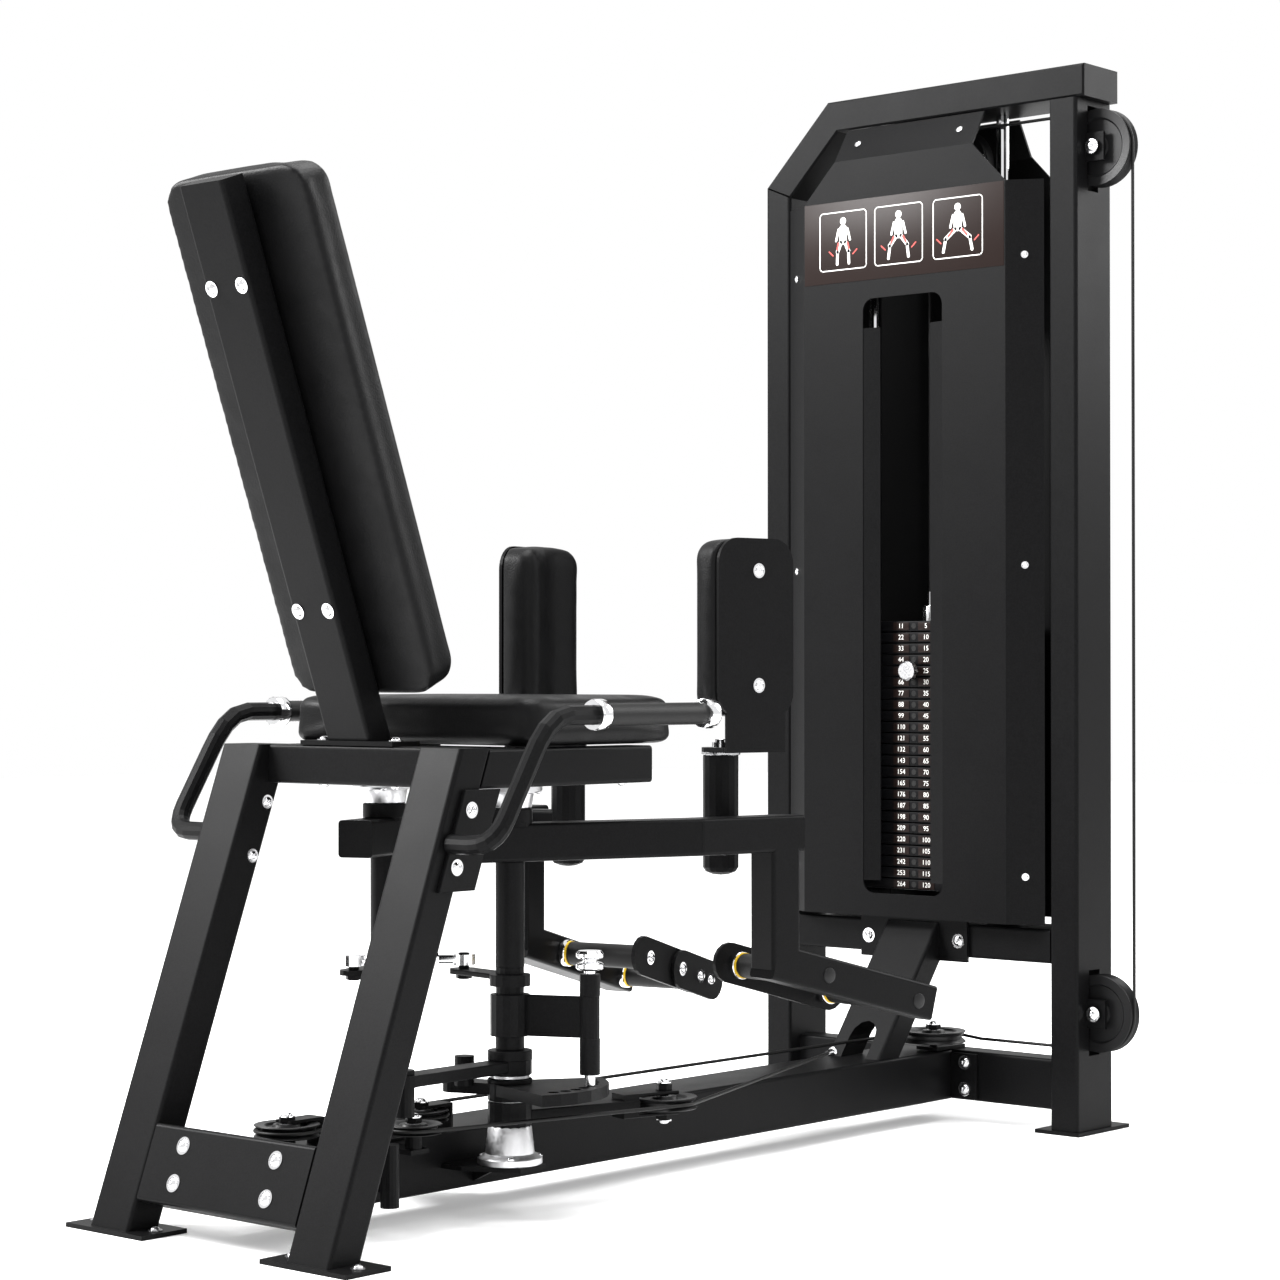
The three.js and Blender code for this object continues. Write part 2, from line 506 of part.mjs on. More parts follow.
// ---- Weight stack ---------------------------------------------------------------------------
function plateStack(first, count, bottom) {
  const { pitch, half, front, back } = STACK;
  const groove = 2.5;
  const outline = [];
  const level = (i) => bottom + (i - first) * pitch;
  outline.push([back, level(first) + 0.6], [back, level(first + count) - 1.6]);
  for (let i = first + count - 1; i >= first; i -= 1) {
    outline.push([front, level(i + 1) - 1.6], [front, level(i) + 0.6]);
    if (i > first) outline.push([front + groove, level(i) - 0.5]);
  }
  const block = outlinePlate(outline, 2 * half, alongX(-half));
  const [under, over] = [bottom - 5, bottom + count * pitch + 5];
  const holes = [1, -1].map((side) => post(side * ROD.x, ROD.y, under, over, ROD.radius + 1));
  return cut(block, ...holes);
}

function makeStack() {
  const { plates, lifted, pitch, bottom } = STACK;
  const resting = plates - lifted;
  const liftedBottom = bottom + resting * pitch;
  const top = bottom + plates * pitch;
  const pinZ = liftedBottom + pitch / 2;
  add('weight_stack_resting', 'plates', plateStack(0, resting, bottom));
  const hole = rod(v3(0, STACK.front - 5, pinZ), v3(0, 50, pinZ), PIN_RADIUS + 0.5, 8);
  const stem = join(post(0, SIDE_PULLEY.y, top - 6, top + 26, 16), post(0, SIDE_PULLEY.y, top + 20, top + 48, 8));
  add('weight_stack_lifted', 'plates', join(cut(plateStack(resting, lifted, liftedBottom), hole), stem));
  const knob = turned([[0, 0], [12, 0], [15.5, 3], [15.5, 13], [13, 16], [0, 16]]);
  add('selector_pin', 'steel', join(rod(v3(0, 46, pinZ), v3(0, STACK.front - 16, pinZ), PIN_RADIUS, 8),
    aimed(knob, v3(0, STACK.front - 8, pinZ), v3(0, -1, 0))));
  SIDES.forEach(([name, side]) => {
    const from = LOWER_CROSS.top + GAP;
    add(`guide_rod_${name}`, 'chrome', post(side * ROD.x, ROD.y, from, TOWER.height - TOWER.tube - GAP, ROD.radius));
  });
}

// ---- Shafts, bearings and the parts that turn on them ---------------------------------------
const [armNear, armFar] = ARM_ANGLE.map((angle) => v3(Math.sin(angle), Math.cos(angle), 0));
const armOut = v3(armFar.y, -armFar.x, 0);
const shaftFoot = v3(SHAFT.x, SHAFT.y, 0);
const bend = shaftFoot.clone().addScaledVector(armNear, ARM.reach);
const dropFoot = bend.clone().addScaledVector(armFar, ARM.second - 2.3);
// A point of the arm: s along its second stretch from the drop tube, b outwards, z up.
const armPoint = (s, b, z) => dropFoot.clone().addScaledVector(armFar, s).addScaledVector(armOut, b).setZ(z);
const shaftBore = (radius = BORE) => post(SHAFT.x, SHAFT.y, 0, 700, radius);

function collar(bottom, top, radius = 29) {
  return post(SHAFT.x, SHAFT.y, bottom, top, radius);
}

function lowerBearing() {
  const { bottom, top } = BEARING_LOW;
  const profile = [[BORE, bottom], [42, bottom], [42, bottom + 9], [32, bottom + 14], [28, top], [BORE, top]];
  return turned(profile).translate(SHAFT.x, SHAFT.y, 0);
}

function upperBearing() {
  const { bottom, top } = BEARING_HIGH;
  const profile = [[BORE, bottom], [28, bottom], [31, top - 12], [42, top - 9], [42, top], [BORE, top]];
  return turned(profile).translate(SHAFT.x, SHAFT.y, 0);
}

// A flat crank from a shaft to a stud, with the stud and its nut.
function crank(centre, end, studTop) {
  const [low, high] = TIE.plate;
  const from = v3(centre, SHAFT.y, (low + high) / 2);
  const to = v3(end[0], end[1], (low + high) / 2);
  const [x, y] = end;
  const plate = join(bar(from, to, 38, high - low, UP, 2), post(x, y, low, high, 19),
    post(centre, SHAFT.y, low - 8, high, 27));
  return join(plate, post(x, y, low - 7, studTop, TIE.rod), post(x, y, low - 6, low + 1, 11, 6));
}

function makeShafts() {
  const shaft = post(SHAFT.x, SHAFT.y, SHAFT.bottom, SHAFT.top, SHAFT.radius);
  const flagDirection = v3(Math.cos(FLAG.angle), Math.sin(FLAG.angle), 0);
  const pinFoot = shaftFoot.clone().addScaledVector(flagDirection, SECTOR.holeRadius);
  const flagMiddle = (FLAG.bottom + FLAG.top) / 2;
  const [flagFrom, flagTo] = [shaftFoot, pinFoot].map((point) => point.clone().setZ(flagMiddle));
  const flag = bar(flagFrom, flagTo, 9, FLAG.top - FLAG.bottom, UP, 2);
  const tube = post(pinFoot.x, pinFoot.y, FLAG.low, FLAG.high, FLAG.tube);
  const bore = post(pinFoot.x, pinFoot.y, 0, 400, SECTOR.hole - 0.2);
  const right = join(shaft, collar(FLAG.bottom, FLAG.top, 26), flag, tube);
  add('shaft_right', 'powder', join(cut(right, bore), crank(SHAFT.x, TIE.right, TIE.z + 9)));
  add('shaft_left', 'powder', join(sided(shaft, -1), crank(-SHAFT.x, TIE.left, TIE.z - 8)));
  const tip = SECTOR.top + 0.8;
  const knob = turned([[0, tip], [SECTOR.hole - 0.6, tip], [SECTOR.hole - 0.6, FLAG.high + 8], [18, FLAG.high + 10],
    [18, FLAG.high + 15], [9, FLAG.high + 17], [9, FLAG.high + 20], [18, FLAG.high + 22], [18, FLAG.high + 28],
    [14, FLAG.high + 31], [0, FLAG.high + 31]]);
  add('pull_pin', 'chrome', knob.translate(pinFoot.x, pinFoot.y, 0));
}

function makeTieRod() {
  const [from, to] = [TIE.right, TIE.left].map(([x, y]) => v3(x, y, TIE.z));
  const direction = to.clone().sub(from).normalize();
  const eye = (at) => post(at.x, at.y, TIE.z - 7, TIE.z + 7, 15);
  const hole = (at) => post(at.x, at.y, TIE.z - 20, TIE.z + 20, TIE.rod + 0.4);
  const body = rod(from.clone().addScaledVector(direction, 34), to.clone().addScaledVector(direction, -34), 9, 6);
  const link = join(rod(from, to, 6), body, eye(from), eye(to));
  add('tie_rod', 'chrome', join(cut(link, hole(from)), post(to.x, to.y, TIE.z - 7, TIE.z + 11, 9, 6)));
}

function makeDrive() {
  const { bottom, top, radius, hole, holeRadius, first, holes } = SECTOR;
  const rad = THREE.MathUtils.degToRad;
  const fan = new THREE.Shape();
  fan.absarc(0, 0, radius, rad(first - 12), rad(first + 10 * (holes - 1) + 12));
  fan.lineTo(-14, 24);
  fan.lineTo(-14, -24);
  const plate = outlinePlate(fan, top - bottom, alongZ(bottom)).translate(SHAFT.x, SHAFT.y, 0);
  const lobe = bar(v3(SHAFT.x, SHAFT.y, 167.5), v3(45, -1087, 167.5), 40, top - bottom, UP, 2);
  const stub = post(70, -1100, top - 4, 210, 13);
  const lobeEnd = post(45, -1087, bottom, top, 20);
  const index = Array.from({ length: holes }, (_, i) => {
    const angle = rad(first + 10 * i);
    const [x, y] = [SHAFT.x + holeRadius * Math.cos(angle), SHAFT.y + holeRadius * Math.sin(angle)];
    return post(x, y, bottom - 5, top + 5, hole, 8);
  });
  add('sector_plate', 'powder', cut(join(plate, lobe, lobeEnd, stub, collar(153.3, 181.2)), ...index, shaftBore()));

  const leverZ = (LEVER.bottom + LEVER.top) / 2;
  const [leverX, leverY] = LEVER.end;
  const lever = join(
    bar(v3(SHAFT.x, SHAFT.y, leverZ), v3(leverX, leverY, leverZ), 36, LEVER.top - LEVER.bottom, UP, 2),
    post(leverX, leverY, LEVER.bottom, LEVER.top, 18), post(leverX, leverY, LEVER.rodBottom, LEVER.top + 6, 12.5),
    collar(186.7, 218));
  add('lever', 'powder', cut(lever, shaftBore()));

  const barZ = (PULL_BAR.bottom + PULL_BAR.top) / 2;
  const end = v3(...PULL_BAR.end, barZ);
  const start = shaftFoot.clone().setZ(barZ);
  const towards = end.clone().sub(start).normalize();
  const tang = end.clone().addScaledVector(towards, -(DRIVE_PULLEY.radius + 4));
  const root = tang.clone().addScaledVector(towards, -24);
  const tip = end.clone().addScaledVector(towards, 14);
  const cheeks = [barZ - 13.5, barZ + 13.5].map((z) => bar(root.clone().setZ(z), tip.clone().setZ(z), 32, 5, UP, 2));
  const web = bar(root, tang, 32, 32, UP, 2);
  const nuts = [[148, 156], [109, 117]].map(([low, high]) => post(end.x, end.y, low, high, 11, 6));
  const bolt = join(post(end.x, end.y, 108, 158, AXLE), ...nuts);
  const body = bar(start, tang, 36, PULL_BAR.top - PULL_BAR.bottom, UP, 2);
  const pull = join(body, web, ...cheeks, bolt, collar(121.2, 150.9));
  add('pull_bar', 'powder', cut(pull, shaftBore()));
}

// ---- Swinging arms --------------------------------------------------------------------------
function makeArm(name, side) {
  const beamZ = (ARM.bottom + ARM.top) / 2;
  const { size } = ARM;
  const level = (point) => point.clone().setZ(beamZ);
  const tail = level(shaftFoot).addScaledVector(armNear, -ARM.tail);
  const elbow = level(bend).addScaledVector(armNear, 4);
  const near = bar(tail, elbow, size, size);
  const far = bar(level(bend).addScaledVector(armFar, -4), armPoint(ARM.overrun, 0, beamZ), size, size);
  const drop = bar(armPoint(0, 0, beamZ), armPoint(0, 0, DROP_BOTTOM + 12), size, size, armFar);
  const slope = THREE.MathUtils.degToRad(FOOT_BAR.drop);
  const barFrom = armPoint(-19.7, 0, 315.2);
  const barDirection = armFar.clone().multiplyScalar(Math.cos(slope)).setZ(-Math.sin(slope));
  const footBar = bar(barFrom, barFrom.clone().addScaledVector(barDirection, FOOT_BAR.length + 36), size, size);
  const postSpot = v3(PAD_POST.x, PAD_POST.y, 0);
  const stubFrom = postSpot.clone().addScaledVector(armOut, 90).setZ(beamZ);
  const stub = bar(stubFrom, level(postSpot), 40, 42);
  const { radius, bottom, top } = PAD_POST;
  const postProfile = [[0, bottom], [12, bottom + 1.5], [21, bottom + 5], [radius, bottom + 11], [radius, top], [0, top]];
  const padPost = turned(postProfile).translate(PAD_POST.x, PAD_POST.y, 0);
  const frame = join(near, far, drop, footBar, stub, padPost, collar(ARM.top - 4, 533.6));
  add(`arm_frame_${name}`, 'powder', sided(cut(frame, shaftBore()), side));
  makeFootRest(name, side);
  makeThighPad(name, side);
}

function makeFootRest(name, side) {
  const { peg, pegZ, reach } = FOOT_BAR;
  const slopePerS = (pegZ[1] - pegZ[0]) / (peg[1] - peg[0]);
  const onLine = (s, b) => armPoint(s, b, pegZ[0] + slopePerS * (s - peg[0]));
  const inner = -ARM.size / 2 - reach;
  const strip = (from, to, b) => {
    const ends = [from, to].map((s) => rod(onLine(s, b), onLine(s, b + 6), 29, 16));
    const middle = bar(onLine(from, b + 3), onLine(to, b + 3), 6, 58, UP, 0.8);
    return join(middle, ...ends);
  };
  const axles = peg.map((s, i) => rod(onLine(s, inner + 3 - 6 * i), onLine(s, -ARM.size / 2 - GAP), 8));
  const strips = [strip(62, 206, inner), strip(167, 259, inner - 5.5)];
  add(`foot_plate_${name}`, 'powder', sided(join(...strips, ...axles), side));
  const [grip, ring, bore] = [17.5, 20, 8.5];
  const length = reach - 6 - 2 * GAP;
  const roller = turned([[bore, 0], [ring, 0], [ring, 12], [grip, 12], [grip, length - 12], [ring, length - 12],
    [ring, length], [bore, length]]);
  peg.forEach((s, i) => {
    const placed = aimed(roller.clone(), onLine(s, -ARM.size / 2 - GAP), armOut.clone().negate());
    add(`foot_peg_${i ? 'front' : 'rear'}_${name}`, 'rubber', sided(placed, side));
  });
}

function makeThighPad(name, side) {
  const spot = v3(PAD_POST.x, PAD_POST.y, 0);
  const at = (s, b, z) => spot.clone().addScaledVector(armFar, s).addScaledVector(armOut, b).setZ(z);
  const floor = PAD_POST.top + GAP;
  const flangeTop = 607;
  const neck = 40;
  const basis = new THREE.Matrix4().makeBasis(armFar, UP, armOut).setPosition(at(0, PAD.outer - PAD.plate, 0));
  const high = outlinePlate(roundedRect(2 * PAD.plateHalf, PAD.top - PAD.bottom, 35), PAD.plate,
    basis.clone().multiply(new THREE.Matrix4().makeTranslation(0, (PAD.top + PAD.bottom) / 2, 0)));
  const low = outlinePlate([[-PAD.neck, 601], [PAD.neck, 601], [PAD.neck, 680], [PAD.plateHalf - 1, 700],
    [1 - PAD.plateHalf, 700], [-PAD.neck, 680]], PAD.plate, basis);
  const shelfOutline = [[-27, 0], [27, 0], [27, neck], [PAD.neck, PAD.outer - 1],
    [-PAD.neck, PAD.outer - 1], [-27, neck]];
  const shelf = outlinePlate(shelfOutline, 6,
    new THREE.Matrix4().makeBasis(armFar, armOut, v3(0, 0, -1)).setPosition(at(0, 0, flangeTop)));
  const disc = post(spot.x, spot.y, floor, flangeTop, 27);
  const bolt = join(post(spot.x, spot.y, flangeTop - 1, flangeTop + 7, 12),
    post(spot.x, spot.y, flangeTop + 6, flangeTop + 11, 8));
  add(`pad_bracket_${name}`, 'powder', sided(join(high, low, shelf, disc, bolt), side));
  const face = PAD.outer - PAD.plate - GAP;
  const padBasis = new THREE.Matrix4().makeBasis(armFar, UP, armOut)
    .setPosition(at(0, face - PAD.thick, (PAD.top + PAD.bottom) / 2));
  const pad = outlinePlate(roundedRect(2 * PAD.half, PAD.top - PAD.bottom, 30), PAD.thick, padBasis, 12);
  add(`thigh_pad_${name}`, 'leather', sided(pad, side));
}

// ---- Pulleys and cables ---------------------------------------------------------------------
function makePulleys() {
  const { x: sideX, top, bottom } = SIDE_PULLEY;
  const upright = [['pulley_side_top', sideX, top], ['pulley_side_bottom', sideX, bottom],
    ['pulley_inner_top', INNER_PULLEY_X, top]];
  upright.forEach(([name, x, z]) => {
    const geometry = aimed(pulley(SIDE_PULLEY), v3(x, SIDE_PULLEY.y, z), v3(0, 1, 0));
    add(name, 'plastic', geometry);
  });
  const [driveX, driveY] = PULL_BAR.end;
  const flat = [['pulley_base', BASE_PULLEY], ['pulley_front', FRONT_PULLEY], ['pulley_turn_a', TURN_PULLEY_A],
    ['pulley_turn_b', TURN_PULLEY_B], ['pulley_drive', { ...DRIVE_PULLEY, x: driveX, y: driveY }]];
  flat.forEach(([name, size]) => add(name, 'plastic', pulley(size).translate(size.x, size.y, size.z)));
}

function makeCables() {
  const { x, y, top, bottom, groove } = SIDE_PULLEY;
  const [across, tall] = [v3(1, 0, 0), UP];
  const sag = groove + CABLE.lift;
  const stackTop = STACK.bottom + STACK.plates * STACK.pitch + 48 + GAP;
  const innerTop = v3(INNER_PULLEY_X, y, top);
  const liftX = INNER_PULLEY_X - sag;
  const lift = [v3(liftX, y, stackTop), v3(liftX, y, (stackTop + top) / 2), v3(liftX, y, top - 4)];
  add('lift_cable', 'rubber', cord(lift));
  const side = [
    ...arc(innerTop, sag, across, tall, 180, 90, 4),
    ...arc(v3(x, y, top), sag, across, tall, 90, 0, 4),
    ...arc(v3(x, y, bottom), sag, across, tall, 0, -90, 4),
    v3(BASE_PULLEY.x + 60, y, bottom - sag),
  ];
  add('side_cable', 'rubber', cord(side));

  const forward = v3(0, 1, 0);
  const turn = (size, from, to, count) =>
    arc(v3(size.x, size.y, size.z), size.groove + CABLE.lift, across, forward, from, to, count);
  const base = [
    v3(BASE_PULLEY.x + 59, y, bottom - sag),
    ...turn(BASE_PULLEY, 90, 180, 4),
    ...turn(FRONT_PULLEY, 181.5, 370, 9),
    ...turn(TURN_PULLEY_A, 190, 8, 9),
  ];
  add('base_cable', 'rubber', cord(base));
  const leave = base.at(-1).clone().add(v3(0, -2 * CABLE.radius, 0));
  const drive = [
    leave,
    ...turn(TURN_PULLEY_B, 170, 345, 8),
    ...turn({ ...DRIVE_PULLEY, x: PULL_BAR.end[0], y: PULL_BAR.end[1] }, -15, 16, 2),
    v3(...CABLE_ANCHOR, DRIVE_PULLEY.z),
  ];
  add('drive_cable', 'rubber', cord(drive));
}

makeBase();
makeFrontFrame();
makeSeatFrame();
makeSeat();
makeBackrest();
makeHandles();
makeTower();
makeShrouds();
makeStack();
makeShafts();
makeTieRod();
makeDrive();
SIDES.forEach(([name, side]) => makeArm(name, side));
makePulleys();
makeCables();

export default machine;
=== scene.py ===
import json
import math

import bmesh
import bpy
from mathutils import Matrix, Vector


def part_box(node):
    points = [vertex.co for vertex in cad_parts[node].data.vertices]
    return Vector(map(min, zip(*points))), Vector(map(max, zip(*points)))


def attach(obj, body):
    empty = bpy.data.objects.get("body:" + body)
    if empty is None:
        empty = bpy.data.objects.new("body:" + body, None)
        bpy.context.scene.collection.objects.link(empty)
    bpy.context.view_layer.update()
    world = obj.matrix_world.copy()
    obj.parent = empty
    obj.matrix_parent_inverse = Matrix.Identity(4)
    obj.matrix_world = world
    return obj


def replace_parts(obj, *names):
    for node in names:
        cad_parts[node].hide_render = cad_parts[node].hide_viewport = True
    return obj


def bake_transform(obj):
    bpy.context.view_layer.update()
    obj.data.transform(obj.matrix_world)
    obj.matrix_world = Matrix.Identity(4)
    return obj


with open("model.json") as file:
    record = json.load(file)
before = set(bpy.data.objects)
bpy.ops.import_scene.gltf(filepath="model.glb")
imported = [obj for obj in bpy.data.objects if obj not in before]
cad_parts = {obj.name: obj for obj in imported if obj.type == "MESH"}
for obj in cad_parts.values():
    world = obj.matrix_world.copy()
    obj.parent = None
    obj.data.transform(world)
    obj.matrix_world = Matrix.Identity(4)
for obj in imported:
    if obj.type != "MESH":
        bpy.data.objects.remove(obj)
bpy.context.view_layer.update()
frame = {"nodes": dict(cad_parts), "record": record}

# ---- Datum: the machine's centre line, the tower's front face and the floor, all read from the frame -------
MM = 0.001
right_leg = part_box("front_leg_right")
left_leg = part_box("front_leg_left")
tower_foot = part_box("tower_post_right")
CENTRE_X = (right_leg[1][0] + left_leg[0][0]) / 2
TOWER_Y = tower_foot[0][1] + 5 * MM
LEAN = math.radians(20)  # of the front legs and the backrest, from upright
ARM_TURN = math.radians(10.3)  # of each arm at rest, from straight ahead
FOOT_REAR, FOOT_FRONT = (78, 290), (250, 243)  # each peg's place on a foot bar: along the arm, and height
FOOT_SLOPE = (FOOT_FRONT[1] - FOOT_REAR[1]) / (FOOT_FRONT[0] - FOOT_REAR[0])
SIDES = (("right", 1), ("left", -1))
X, Y, Z = Vector((1, 0, 0)), Vector((0, 1, 0)), Vector((0, 0, 1))


def at(x, y, z):
    """A point given in millimetres from the datum."""
    return Vector((CENTRE_X + x * MM, TOWER_Y + y * MM, z * MM))


def arm_axes(sign):
    """The directions out from an arm and along it, at rest."""
    out = Vector((sign * math.cos(ARM_TURN), -math.sin(ARM_TURN), 0))
    along = Vector((sign * math.sin(ARM_TURN), math.cos(ARM_TURN), 0))
    return out, along


def pad_post(sign):
    """The axis a thigh pad swivels on, at floor level."""
    return at(sign * 145.2, -664.1, 0)


def on_foot_bar(sign, reach, aside):
    """A point on the sloping foot bar, in millimetres along the arm and out from it."""
    out, along = arm_axes(sign)
    spot = at(sign * 240.5, -661, 0) + along * reach * MM + out * aside * MM
    spot.z = (FOOT_REAR[1] + FOOT_SLOPE * (reach - FOOT_REAR[0])) * MM
    return spot


# ---- Materials ---------------------------------------------------------------------------------------------
def new_material(name, colour, roughness, metallic=0.0, gloss=0.5):
    material = bpy.data.materials.new(name)
    material.use_nodes = True
    shader = material.node_tree.nodes["Principled BSDF"]
    shader.inputs["Base Color"].default_value = (*colour, 1)
    shader.inputs["Roughness"].default_value = roughness
    shader.inputs["Metallic"].default_value = metallic
    shader.inputs["Specular IOR Level"].default_value = gloss
    return material


def texture(material, kind, scale, detail=3.0):
    nodes, links = material.node_tree.nodes, material.node_tree.links
    place = nodes.new("ShaderNodeTexCoord")
    source = nodes.new(kind)
    source.inputs["Scale"].default_value = scale
    if "Detail" in source.inputs:
        source.inputs["Detail"].default_value = detail
    links.new(place.outputs["Object"], source.inputs["Vector"])
    return source


def bump(material, source, strength, distance, output=0):
    nodes, links = material.node_tree.nodes, material.node_tree.links
    shader = nodes["Principled BSDF"]
    node = nodes.new("ShaderNodeBump")
    node.inputs["Strength"].default_value = strength
    node.inputs["Distance"].default_value = distance
    links.new(source.outputs[output], node.inputs["Height"])
    if shader.inputs["Normal"].is_linked:
        links.new(shader.inputs["Normal"].links[0].from_socket, node.inputs["Normal"])
    links.new(node.outputs["Normal"], shader.inputs["Normal"])


def vary(material, source, socket, low, high, output=0):
    """Drives a colour or a number on the shader from a texture."""
    nodes, links = material.node_tree.nodes, material.node_tree.links
    ramp = nodes.new("ShaderNodeValToRGB")
    ends = ramp.color_ramp.elements
    ends[0].position, ends[1].position = 0.35, 0.65
    ends[0].color = (*low, 1) if isinstance(low, tuple) else (low, low, low, 1)
    ends[1].color = (*high, 1) if isinstance(high, tuple) else (high, high, high, 1)
    links.new(source.outputs[output], ramp.inputs["Fac"])
    links.new(ramp.outputs["Color"], nodes["Principled BSDF"].inputs[socket])


def powder_coat(name, colour, roughness):
    """Fine-texture powder coat: a tight grain with slight patches of sheen."""
    material = new_material(name, colour, roughness, gloss=0.06)
    grain = texture(material, "ShaderNodeTexNoise", 750)
    bump(material, grain, 0.28, 0.0005)
    patches = texture(material, "ShaderNodeTexNoise", 14)
    vary(material, patches, "Roughness", roughness - 0.015, roughness + 0.02)
    tone = texture(material, "ShaderNodeTexNoise", 420)
    vary(material, tone, "Base Color", tuple(c * 0.75 for c in colour), tuple(c * 1.35 for c in colour))
    return material


def leather(name, colour):
    """Pebbled upholstery: small rounded cells, creased between, with a soft sheen."""
    material = new_material(name, colour, 0.42, gloss=0.1)
    cells = texture(material, "ShaderNodeTexVoronoi", 420)
    cells.feature = "SMOOTH_F1"
    bump(material, cells, 0.35, 0.0006, "Distance")
    folds = texture(material, "ShaderNodeTexNoise", 30)
    bump(material, folds, 0.12, 0.004)
    vary(material, folds, "Roughness", 0.38, 0.5)
    return material


def metal(name, colour, roughness, grain_scale, strength):
    material = new_material(name, colour, roughness, 1.0)
    grain = texture(material, "ShaderNodeTexNoise", grain_scale)
    bump(material, grain, strength, 0.0003)
    vary(material, grain, "Roughness", roughness * 0.8, roughness * 1.3)
    return material


def moulded(name, colour, roughness, strength=0.08, gloss=0.5):
    material = new_material(name, colour, roughness, gloss=gloss)
    grain = texture(material, "ShaderNodeTexNoise", 600)
    bump(material, grain, strength, 0.0004)
    vary(material, grain, "Roughness", roughness - 0.06, roughness + 0.06)
    return material


MATERIALS = {
    "black_powder_coat": powder_coat("powder_coat_black", (0.0036, 0.0036, 0.0038), 0.4),
    "stack_paint": powder_coat("plate_paint_black", (0.004, 0.004, 0.0045), 0.42),
    "black_leather": leather("leather_black", (0.0034, 0.0034, 0.0036)),
    "bright_chrome": metal("chrome_bright", (0.8, 0.8, 0.81), 0.1, 40, 0.02),
    "bare_steel": metal("steel_turned", (0.5, 0.5, 0.51), 0.28, 300, 0.08),
    "cast_housing": metal("aluminium_cast", (0.62, 0.62, 0.63), 0.38, 260, 0.3),
    "black_plastic": moulded("plastic_black", (0.005, 0.005, 0.0053), 0.38, gloss=0.2),
    "black_rubber": moulded("rubber_black", (0.005, 0.005, 0.005), 0.5, 0.2, 0.2),
    "yellow_plastic": moulded("plastic_yellow", (0.75, 0.48, 0.02), 0.4),
    "label_film": moulded("label_brown", (0.012, 0.007, 0.006), 0.35, 0.03, 0.1),
}
PRINT = moulded("print_white", (0.8, 0.79, 0.76), 0.5, 0.02)
ACCENT = moulded("print_red", (0.45, 0.03, 0.02), 0.5, 0.02)
# A matte black that paints the shade inside the plates' selector holes, on flat discs.
HOLE_SHADE = moulded("painted_hole_shade", (0.004, 0.004, 0.004), 0.9, 0.02)

for part in frame["record"]["subparts"]:
    node = frame["nodes"][part["node"]]
    node.data.materials.clear()
    node.data.materials.append(MATERIALS[part["material_slot"]])


# ---- Building tools ----------------------------------------------------------------------------------------
def as_piece(name, data, body, slot, material=None, smooth=True):
    piece = bpy.data.objects.new(name, data)
    bpy.context.scene.collection.objects.link(piece)
    data.materials.clear()
    data.materials.append(material or MATERIALS[slot])
    if smooth and hasattr(data, "polygons"):
        data.polygons.foreach_set("use_smooth", [True] * len(data.polygons))
        data.set_sharp_from_angle(angle=math.radians(35))
    if body:
        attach(piece, body)
    return piece


def mesh_from(form):
    data = bpy.data.meshes.new("made")
    form.normal_update()
    form.to_mesh(data)
    form.free()
    return data


def aim(position, axis):
    return Matrix.Translation(position) @ Z.rotation_difference(Vector(axis)).to_matrix().to_4x4()


def spin(form, profile, matrix=Matrix(), segments=48):
    """Turns a profile of [radius, z] points in millimetres about Z and closes it on the axis."""
    rings = []
    for radius, height in profile:
        count = 1 if radius == 0 else segments
        rings.append([
            form.verts.new(matrix @ Vector((radius * MM * math.cos(math.tau * i / segments),
                                            radius * MM * math.sin(math.tau * i / segments), height * MM)))
            for i in range(count)
        ])
    for low, high in zip(rings, rings[1:]):
        for i in range(segments):
            j = (i + 1) % segments
            ring = [low[i % len(low)], low[j % len(low)], high[j % len(high)], high[i % len(high)]]
            corners = list(dict.fromkeys(ring))
            if len(corners) > 2:
                form.faces.new(corners)
    return form


def lathe(name, profile, position, axis, body, slot, material=None, closed=False, segments=48):
    """A turned piece. A closed profile stays off the axis and meets itself, which leaves a bore."""
    outline = [*profile, profile[0]] if closed else profile
    form = spin(bmesh.new(), outline, aim(position, axis), segments)
    bmesh.ops.remove_doubles(form, verts=form.verts, dist=1e-6)
    bmesh.ops.recalc_face_normals(form, faces=form.faces)
    return as_piece(name, mesh_from(form), body, slot, material)


def block(form, low, high, bevel=0.0, matrix=Matrix()):
    """A bevelled box between two corners, added to a form."""
    size = [b - a for a, b in zip(low, high)]
    centre = [(a + b) / 2 for a, b in zip(low, high)]
    made = bmesh.ops.create_cube(form, size=1)
    place = matrix @ Matrix.Translation(centre) @ Matrix.Diagonal((*size, 1))
    bmesh.ops.transform(form, matrix=place, verts=made["verts"])
    if bevel:
        edges = list({edge for vert in made["verts"] for edge in vert.link_edges})
        bmesh.ops.bevel(form, geom=edges, offset=bevel, segments=2, affect="EDGES", profile=0.6)
    return form


def tube(name, points, radius, body, slot, resolution=6):
    """A round cord through points, as a curve."""
    data = bpy.data.curves.new(name, "CURVE")
    data.dimensions = "3D"
    data.bevel_depth = radius * MM
    data.bevel_resolution = resolution
    data.use_fill_caps = True
    spline = data.splines.new("POLY")
    spline.points.add(len(points) - 1)
    for target, point in zip(spline.points, points):
        target.co = (*point, 1)
    spline.use_smooth = True
    return as_piece(name, data, body, slot, smooth=False)


def taut(name, start, end, radius, slot, sides=12):
    """A straight cable run: one ring at each end and nothing between, so it stays straight when an end moves.

    It rides on no one body.
    """
    form = bmesh.new()
    heading = end - start
    length = heading.length / MM
    spin(form, [(0, 0), (radius, 0), (radius, length), (0, length)], aim(start, heading), sides)
    return as_piece(name, mesh_from(form), None, slot)


